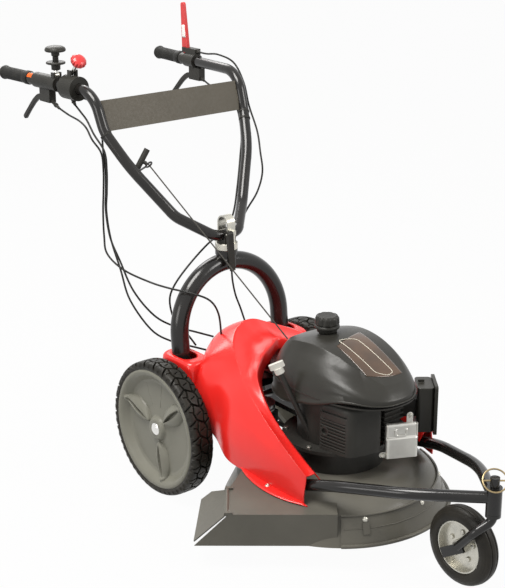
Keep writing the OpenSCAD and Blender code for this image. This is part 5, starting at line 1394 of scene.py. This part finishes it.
@dataclass
class Engine(Assembly):
    """Engine with its cover, guard, shield, filter and caps.

    The cover is a rounded outline about its middle, between its lower edge and its top.
    """

    mid: tuple[float, float] = (12.0, -405.0)
    half_w: float = 142.0
    half_l: float = 197.0
    low: float = 368.0
    top: float = 480.0
    bulge: float = 0.8
    taper: float = 0.16
    wall: float = 2.5
    side_share: float = 0.992
    guard_at: Point = (-105.0, -431.0, 234.4)
    guard_h: float = 110.0
    guard_dome: float = 14.0
    slat_pitch: float = 8.3
    shield_at: Point = (10.0, -560.0, 213.0)
    shield_turn: float = -27.0
    shield_h: float = 80.0
    shield_bend: float = 6.0
    shield_deep: float = 13.0

    def crease(self, turn: Array) -> Array:
        """Share of the outline at which the top's edge lies, by angle round the cover.

        Args:
            turn: Angle round the cover.
        Returns:
            The share.
        """
        at = np.radians([0, 90, 127, 150, 173, 200, 235, 262, 290, 330, 360])
        share = [0.80, 0.80, 0.77, 0.66, 0.56, 0.51, 0.59, 0.82, 0.85, 0.82, 0.80]
        return np.interp(np.mod(turn, FULL), at, share)

    def lip(self, turn: Array) -> Array:
        """Rise of the lower edge: level at the front and sides, lower round the back."""
        a = np.mod(turn, FULL)
        return 0.15 - 0.55 * ramp(a, 0.7, 1.4) * (1 - ramp(a, 2.7, 3.9))

    def roof(self, y: Array) -> Array:
        """Smooth height of the cover from back to front, as a share of its rise.

        Args:
            y: Place along the cover, from its middle.
        Returns:
            The share.
        """
        shares = [0.70, 0.88, 1.0, 0.97, 0.80, 0.56, 0.28]
        line = spline(np.stack([np.arange(7) / 6, shares], 1), 12)
        return np.interp((self.half_l - y) / (2 * self.half_l), line[:, 0], line[:, 1])

    @staticmethod
    def knee(crease: Array) -> Array:
        """Rise of the top's edge, which is higher where the top is narrow."""
        return np.interp(crease, [0.50, 0.80, 0.87], [0.955, 0.895, 0.85])

    def cover_at(self, share: Array, turn: Array, rise: Array) -> Array:
        """Cover surface: a rounded outline scaled by share, raised by rise times the roof line.

        Args:
            share: Share of the outline.
            turn: Angle round the cover.
            rise: Share of the height over the base.
        Returns:
            Layout points.
        """
        c, s = np.cos(turn), np.sin(turn)
        wide = self.half_w * share * (1 - self.taper * (1 - s) / 2)
        x = wide * np.sign(c) * np.abs(c) ** self.bulge
        y = self.half_l * share * np.sign(s) * np.abs(s) ** self.bulge
        z = self.low + (self.top - self.low) * rise * np.where(rise > 0, self.roof(y), 1.0)
        return np.stack([self.mid[0] + x, self.mid[1] + y, z], -1)

    def top_at(self, plan: Array, proud: float) -> Array:
        """Points over the cover's top, found by solving the outline's share and angle.

        Args:
            plan: Places (across, along) from the cover's middle.
            proud: Height over the surface in millimetres.
        Returns:
            Layout points.
        """
        x, y = plan[..., 0], plan[..., 1]
        s = np.sign(y) * 0.5
        power = 1 / self.bulge
        for _ in range(8):
            half = self.half_w * (1 - self.taper * (1 - s) / 2)
            across, along = np.abs(x) / half, np.abs(y) / self.half_l
            share = (across ** (2 * power) + along ** (2 * power)) ** (0.5 / power)
            s = np.sign(y) * np.minimum(1, (along / np.maximum(share, 1e-6)) ** power)
        turn = np.arctan2(s, np.sign(x) * np.sqrt(np.maximum(1 - s * s, 0)))
        edge = self.crease(turn)
        rise = 1 - (1 - self.knee(edge)) * np.clip(share / edge, 0, 1) ** 2
        z = self.low + (self.top - self.low) * rise * self.roof(y) + proud
        return np.stack([self.mid[0] + x, self.mid[1] + y, z], -1)

    def cover(self) -> None:
        """Cover's shell: a lip, sides that swell or hollow, and a top inside a rounded crease."""
        turn = angles(288)[None, :]
        edge, lip = self.crease(turn), self.lip(turn)
        knee = self.knee(edge)
        hollow = np.clip((0.80 - edge) / 0.3, 0, 1)
        full = spline([[0.0, 0.10], [0.02, 0.28], [0.08, 0.46], [0.40, 0.75], [0.75, 0.93],
                       [1.0, 1.0]], 8)
        dished = spline([[0.0, 0.10], [0.02, 0.34], [0.163, 0.58], [0.45, 0.74], [0.75, 0.86],
                         [1.0, 1.0]], 8)
        v = np.unique(np.concatenate([np.linspace(0, 0.1, 8), np.linspace(0.1, 1, 24)]))[:, None]
        swell, dish = (np.interp(v, line[:, 0], line[:, 1]) for line in (full, dished))
        side = self.side_share + (edge - self.side_share) * v
        side_rise = lip + (knee - lip) * (swell * (1 - hollow) + dish * hollow)
        w = np.concatenate([np.linspace(0.985, 0.9, 4), np.linspace(0.8, 0.02, 14)])[:, None]
        foot = np.array([0.965, 1.006, 1.013, 1.013, 1.006])[:, None] * np.ones_like(turn)
        foot_rise = lip + np.array([-0.01, -0.01, 0.01, 0.06, 0.08])[:, None]
        share = np.concatenate([foot, side, edge * w])
        rise = np.concatenate([foot_rise, side_rise, 1 - (1 - knee) * w**2])
        points = self.cover_at(share, np.broadcast_to(turn, share.shape), rise)
        faces = capped(*share.shape)
        del faces[-2]
        shell = mesh_piece("engine_cover_shell", place(points.reshape(-1, 3)), faces, 70)
        self.model.add(walled(upward(shell), self.wall), COVER, "chassis", "engine_cover")
        self.panel()

    def panel(self) -> None:
        """Plain glossy panel on the cover's top with a pale outline, laid on the surface."""
        a, b = np.meshgrid(np.linspace(0, 1, 28), np.linspace(0, 1, 40), indexing="ij")
        a3, b3 = a[..., None], b[..., None]
        back, front = np.array([[-40, -12], [66, 20]]), np.array([[-44, -122], [56, -142]])
        rear_edge, fore_edge = (line[0] * (1 - a3) + line[1] * a3 for line in (back, front))
        plan = rear_edge * (1 - b3) + fore_edge * b3
        plan[..., 1] -= 9 * np.sin(math.pi * a) * b**2
        skin = upward(sheet("cover_panel", self.top_at(plan, 0.7), 60))
        self.model.add(walled(skin, 0.9), PANEL, "chassis")
        loop = rounded([[2, 0], [-21, 4], [-15, -122], [10, -139], [34, -134], [27, -12], [2, 0]],
                       9, 6)
        loop = resampled(np.concatenate([loop, loop[1:2]]), 160)
        line = tube(place(self.top_at(loop, 1.3)), 0.0009, 8)
        self.model.add(mesh_piece("panel_line", *line, 80), OUTLINE, "chassis")

    def fuel_cap(self) -> None:
        """Fuel cap as a lathe whose upper rim swells into lobes, with a stepped neck."""
        section = rounded([[0, 0.3], [0, 25], [5, 26], [9, 26], [10, 31.5], [16, 31.5],
                           [17.5, 28.5], [20, 28.5], [21.5, 31], [36, 30], [41, 26.5], [42, 23],
                           [41, 20], [41, 0.3]], 1.6, 3)

        def lobes(turn: Array, row: Array) -> Array:
            """Nine scallops on the crown that fade towards its neck and its middle."""
            crown = ramp(row[..., 0], 20, 23) * ramp(row[..., 1], 18, 27)
            return -2.6 * crown * np.abs(np.cos(4.5 * turn)) ** 6

        cap = turned("fuel_cap_crown", section, (self.mid[0], -338, 480.4), UP, 144, 45, lobes)
        self.model.add(cap, PLASTIC, "fuel_cap", "fuel_cap")

    def guard(self) -> None:
        """Muffler guard: a rounded four-sided outline raised to a domed top, with slats and a hole.

        Rows of the outline run up the wall, then shrink towards the middle along a quarter circle.
        Slats and hole push the left-hand face inwards by smooth steps of the place along and up it.
        """
        corner = np.array([[0, 0], [13.2, -105.4], [110, -124], [110, -62]])
        start = (corner[3:] + corner[:1]) / 2
        loop = rounded(np.concatenate([start, corner, start]), 22, 10)
        edge = resampled(loop, 400, endpoint=False)
        way = unit(corner[1] - corner[0])
        inward = np.array([-way[1], way[0]])
        along, off = (edge @ way)[None, :], (edge @ inward)[None, :]
        high, dome, rows = self.guard_h, self.guard_dome, 140
        angle = np.linspace(0, math.pi / 2, 9)[1:]
        up = np.concatenate([np.linspace(0, high, rows), high + dome * np.sin(angle),
                             [high + dome] * 2])[:, None]
        share = np.concatenate([np.ones(rows), 1 - dome * (1 - np.cos(angle)) / 55,
                                [0.4, 0.02]])[:, None]
        field = window(along, 13, 90, 3) * window(up, 8, 82, 1)
        slat = 1 - ramp(np.abs(wrapped(up / self.slat_pitch)) * self.slat_pitch, 1.7, 2.5)
        far = np.hypot(along - 27, up - 48)
        push = 4.5 * field * slat * ramp(far, 13, 14) + 7 * (1 - ramp(far, 7, 8))
        push = push + 5 * window(along, 16, 92, 4) * window(up, 98, 103, 1)
        push = push * (1 - ramp(off, 2, 5))
        middle = edge.mean(0)
        plan = middle + (edge - middle)[None] * share[..., None] + push[..., None] * inward
        height = np.broadcast_to(up, push.shape)[..., None]
        points = np.concatenate([plan, height], -1) + self.guard_at
        points = place(points.reshape(-1, 3))
        piece = outward(mesh_piece("muffler_guard_shell", points, capped(*push.shape), 40))
        self.model.add(piece, GUARD, "chassis", "muffler_guard")

    def shield(self) -> None:
        """Heat shield: a folded sheet, its top set back, with a raised loop, ear and bolts."""
        turn = math.radians(self.shield_turn)
        ex = np.array([math.cos(turn), math.sin(turn), 0])
        ey = np.array([-math.sin(turn), math.cos(turn), 0])
        axes, at = np.stack([ex, ey, UP]), np.array(self.shield_at)
        high, bend, deep, rows = self.shield_h, self.shield_bend, self.shield_deep, 110
        fold = resampled(rounded([[0, deep], [0, 0], [78, 0], [78, deep]], 6, 6), 150)
        x, y = fold[:, 0][None, :], fold[:, 1][None, :]
        angle = np.linspace(0, math.pi / 2, 8)[1:]
        z = np.concatenate([np.linspace(0, high, rows), high + bend * np.sin(angle),
                            [high + bend]])[:, None]
        back = np.concatenate([np.zeros(rows), bend * (1 - np.cos(angle)), [deep]])[:, None]
        across, up = np.maximum(np.abs(x - 37) - 8, 0), np.maximum(np.abs(z - 66) - 4, 0)
        loop = np.abs(np.hypot(across, up) - 6)
        set_back = 5.5 * ramp(z, 49, 55) - 2.4 * (1 - ramp(loop, 1.0, 2.6)) * (1 - ramp(z, 72, 75))
        y = y + (1 - ramp(y, 0.5, 4)) * (set_back + back)
        y = np.minimum(np.maximum(y, back), deep)
        grid = at + np.stack(np.broadcast_arrays(x, y, z), -1) @ axes
        folded = upward(sheet("heat_shield_sheet", grid, 45))
        self.model.add(walled(folded, 1.6), BRIGHT, "chassis", "heat_shield")
        a = np.linspace(0, math.pi, 13)
        ear = np.concatenate([[[-8, 0], [8, 0]], np.stack([8 * np.cos(a), 22 + 8 * np.sin(a)], 1)])
        lug = np.concatenate([[[9, -7], [9, 7]], np.stack([-6 - 7 * np.sin(a), 7 * np.cos(a)], 1)])
        head = rounded([[-1, 0.2], [-1, 7.6], [0.6, 7.6], [1.0, 5.6], [5.0, 5.6], [6.0, 4.6],
                        [6.2, 0.2]], 0.4, 2)
        for label, outline, spot, bolt in (("ear", ear, (60, 11, 84), (0, -1, 22)),
                                           ("lug", lug, (-4, 6, 9), (-4, -1, 0))):
            where = at + spot @ axes
            tab = slab(f"shield_{label}", outline, 2.2, where, ex, UP, 0.4)
            self.model.add(tab, BRIGHT, "chassis")
            screw = turned(f"shield_{label}_bolt", head, where + bolt @ axes, -ey, 6, 30)
            self.model.add(screw, ZINC, "chassis")

    def build(self) -> None:
        """Makes the cover and dresses the rest of the engine."""
        self.cover()
        self.fuel_cap()
        self.guard()
        self.shield()
        self.model.dress(((ALLOY, 0.0, "engine_block"), (COVER, 1.5, "air_filter_box"),
                     (COVER, 2.5, "air_filter_cover"), (ALLOY, 0.6, "carburettor"),
                     (STEEL, 0.0, "muffler"), (ZINC, 0.5, "fasteners"), (PALE, 0.8, "oil_cap")),
                    ((PLASTIC, "fuel_tank starter_pulley"), (STEEL, "flywheel")))


@dataclass
class Bar(Assembly):
    """Handlebar, its head and the controls; lengths are in millimetres."""

    tip: Point = (263.0, 694.0, 1013.0)
    run: tuple[float, float] = (0.0623441, 0.998055)
    patch_r: float = 17.2
    throttle_d: float = 242.0
    gear_d: float = 315.0
    gear_lean: float = 43.0
    safety_d: float = 146.0
    safety_lean: float = 5.0
    plate_lean: float = 20.1089

    def on_run(self, side: float, d: float, rise: float = 0.0) -> Array:
        """Layout point on the bar's level end, d from its tip and some way above it."""
        x, y, z = self.tip
        return np.array([side * (x - self.run[0] * d), y - self.run[1] * d, z + rise])

    def grips(self) -> None:
        """Grips: ringed sleeves with a flared tip and collar, turned about the bar's end."""
        d = np.concatenate([[-3, -3, -2.4, -1, 3, 6, 8, 10], np.linspace(12, 98, 160),
                            [101, 104, 108, 116, 120, 122, 123, 123]])
        r = np.interp(d, [-3, 3, 8, 12, 98, 104, 108, 120, 123],
                      [17.4, 19.4, 18.2, 16.7, 16.7, 17.6, 18.8, 18.8, 17.4])
        r[[0, 1, 2, -1]] = 0.3, 15.5, 17.6, 14.7
        rings = 0.35 * np.sin(FULL * d / 4.3) * window(d, 12, 95, 3)
        sleeve = np.stack([d, r + rings], 1)
        band = rounded([[125.5, 14.6], [125.5, 16.4], [150.5, 16.4], [150.5, 14.6]], 0.6, 3)
        for label, side in SIDES:
            tip = self.on_run(side, 0)
            axis = self.on_run(side, 1) - tip
            grip = turned(f"{label}_grip_sleeve", sleeve, tip, axis, 56, 50)
            self.model.add(grip, RUBBER, "handlebar", "grips")
            self.model.add(turned(f"{label}_band", band, tip, axis, 56, 50), PLASTIC, "handlebar")
        a, d = np.meshgrid(np.linspace(0.35, 1.15, 20), np.linspace(127, 149, 8), indexing="ij")
        base = np.stack([self.on_run(-1.0, v) for v in d[0]], 0)[None]
        arc = base + self.patch_r * np.stack([-np.cos(a), 0 * a, np.sin(a)], -1)
        patch = walled(sheet("right_patch", arc, 60, flip=True), 0.9)
        self.model.add(patch, ORANGE, "handlebar")

    def throttle(self) -> None:
        """Throttle: bright rod, black spool with a brim and a round top, turned about its axis."""
        at = self.on_run(-1.0, self.throttle_d, 24)
        lever = "throttle_lever"
        rod = rounded([[-7, 0.2], [-7, 5.0], [13, 5.0], [13, 0.2]], 0.8, 2)
        self.model.add(turned("throttle_rod", rod, at, UP, 32, 40), CHROME, lever, lever)
        eye = rounded([[-7.5, 3.1], [-7.5, 7], [7.5, 7], [7.5, 3.1]], 0.8, 2)
        self.model.add(turned("throttle_eye", eye, at, (1, 0, 0), 32, 40), ZINC, lever)
        head = rounded([[12, 0.2], [12, 7.9], [50, 7.9], [51, 11], [60, 11], [61.5, 20], [62, 26],
                        [64.5, 28], [68, 28], [73, 25], [76, 18], [77.6, 9], [78, 0.2]], 1.6, 4)
        self.model.add(turned("throttle_head", head, at, UP, 64, 50), PLASTIC, lever, lever)
        sleeve = rounded([[14, 8.1], [14, 12], [24, 12.2], [27, 13], [29, 23], [30, 25.6], [33, 26],
                          [35.4, 24.6], [36, 20], [36, 8.1]], 1.2, 4)
        collar = turned("lock_sleeve", sleeve, at, UP, 64, 50)
        self.model.add(collar, PLASTIC, "lock_collar", "lock_collar")

    def gear(self) -> None:
        """Gear lever: bright leaning rod with a red knob whose underside is scalloped."""
        at = self.on_run(-1.0, self.gear_d, 40)
        lean, lever = math.radians(self.gear_lean), "gear_lever"
        up = np.array([0.0, -math.sin(lean), math.cos(lean)])
        rod = rounded([[-6, 0.2], [-6, 5.0], [36, 5.0], [36, 0.2]], 0.8, 2)
        self.model.add(turned("gear_rod", rod, at, up, 32, 40), CHROME, lever, lever)
        section = rounded([[29, 0.2], [29, 8.5], [31, 11], [36, 17], [42, 21], [47, 22], [52, 19.5],
                           [56.5, 13], [58.4, 6], [58.8, 0.2]], 2.4, 5)

        def ribs(turn: Array, row: Array) -> Array:
            """Grooves between fourteen ribs, deepest under the brim.

            Args:
                turn: Angle round the knob.
                row: Profile points.
            Returns:
                Change of radius.
            """
            along = row[..., 0]
            deep = ramp(along, 30, 34) * (1 - ramp(along, 48, 54))
            return -3.4 * deep * np.abs(np.cos(7 * turn)) ** 4

        self.model.add(turned("gear_knob", section, at, up, 168, 50, ribs), KNOB, lever, lever)

    def safety(self) -> None:
        """Red upright lever with a plain white plate on its near face."""
        self.model.solid("safety_lever", KNOB, 1.6)
        lean = math.radians(self.safety_lean)
        up = np.array([0, math.sin(lean), math.cos(lean)])
        fore = np.array([0, math.cos(lean), -math.sin(lean)])
        face = self.on_run(1.0, self.safety_d, 28) + [-5.5, 0, 0]
        a, b = np.meshgrid(np.linspace(34, 70, 8), np.linspace(-1, 1, 6), indexing="ij")
        half = np.interp(a, [34, 70], [8.2, 7.0])
        grid = face + a[..., None] * up + (b * half)[..., None] * fore
        self.model.add(walled(sheet("lever_plate", grid, 50), 0.5), WHITE, "safety_lever")

    def trim(self) -> None:
        """Cable ties round the arms, and weld beads where the cross plate meets them."""
        band = rounded([[-2.6, 14.6], [-2.6, 16.2], [2.6, 16.2], [2.6, 14.6]], 0.5, 2)
        ties = {"right": ((229.0, 254.0, 907.0),),
                "left": ((229.0, 254.0, 907.0), (222.0, 242.0, 891.0))}
        t, lean = np.linspace(-39, 39, 60), math.radians(self.plate_lean)
        for label, side in SIDES:
            for k, (x, y, z) in enumerate(ties[label]):
                axis = (-side * 35, -59.3, -86.2)
                tie = turned(f"{label}_tie_{k}", band, (side * x, y, z), axis, 40, 50)
                self.model.add(tie, PLASTIC, "handlebar")
            path = np.stack([side * 219.4 + 0 * t, 271.701 + t * math.sin(lean) - 1.2,
                             952.041 + t * math.cos(lean)], 1)
            weld = tube(place(path), 0.0021 + 0.0004 * np.sin(t * 1.9), 10)
            self.model.add(mesh_piece(f"{label}_weld", *weld, 60), PLATE, "handlebar")

    def levers(self) -> None:
        """Hand levers: a curved line with a half width on each side of it, rounded at both ends."""
        line = spline([[-5, 0], [14, 0], [36, -2], [56, -14], [74, -30], [98, -54], [115, -72]], 12)
        run = run_along(line)
        width = np.interp(run, [0, 22, 50, 110, run[-1]], [9.0, 8.4, 7.2, 6.4, 7.0])
        end = np.minimum(run, run[-1] - run)
        half = width * np.sqrt(np.clip(1 - (1 - np.minimum(end / width, 1)) ** 2, 0.01, 1))
        way = unit(np.gradient(line, axis=0))
        side = np.stack([-way[:, 1], way[:, 0]], 1) * half[:, None]
        outline = np.concatenate([line + side, (line - side)[::-1]])
        for label, sign in SIDES:
            name, at = f"{label}_lever", (sign * 251.03, 502.373, 969.0)
            arm = slab(f"{name}_arm", outline, 10.0, at, (0, 1, 0), UP, 2.6)
            self.model.add(arm, PLASTIC, name, name)

    def ferrules(self) -> None:
        """Cable ends: a nut and a tapered sleeve about the line from each bracket to its cable."""
        ends = {"clutch": ((-251, 474, 964), (-250, 440, 949)),
                "throttle": ((-240, 452, 999), (-226, 434, 984)),
                "gear": ((-243.4, 387, 985), (-242, 374, 967)),
                "drive": ((251, 480, 970), (248, 456, 962)),
                "safety": ((254, 502, 1040), (254, 482, 1040))}
        shape = [[0, 0.3], [0, 5.0], [0.45, 5.0], [0.47, 6.2], [0.62, 6.2], [0.64, 4.4],
                 [0.95, 3.6], [1, 3.2], [1, 0.3]]
        for label, (start, end) in ends.items():
            way = np.subtract(end, start)
            profile = rounded(np.multiply(shape, (np.linalg.norm(way), 1)), 0.8, 3)
            ferrule = turned(f"{label}_ferrule", profile, start, way, 32, 45)
            self.model.add(ferrule, PLASTIC, "handlebar")

    def build(self) -> None:
        """Makes grips and levers, and dresses the handlebar, head and brackets."""
        for make in (self.grips, self.trim, self.throttle, self.gear, self.safety, self.levers,
                     self.ferrules):
            make()
        self.model.dress(((TUBE, 0.0, "handlebar_tube"), (PLATE, 0.4, "cross_plate"),
                     (PLASTIC, 0.8, "right_control_bracket left_control_bracket"),
                     (PLASTIC, 1.2, "gear_housing"), (PLASTIC, 0.0, "starter_handle swivel_head"),
                     (ZINC, 0.8, "swivel_ring"), (ZINC, 0.6, "clamp_strap"),
                     (PLASTIC, 0.8, "clamp_lever")))


def main() -> None:
    """Builds the scene: camera and cords first, then each sub-assembly, and the studio last."""
    logging.basicConfig(level=logging.INFO)
    model = Model()
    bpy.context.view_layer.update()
    studio = Studio()
    studio.camera()
    for assembly in (Cords, Wheels, Body, Engine, Bar):
        assembly(model).build()
    studio.build()
    for name in model.made:
        LOG.info("made %s", name)


if __name__ == "__main__":
    main()
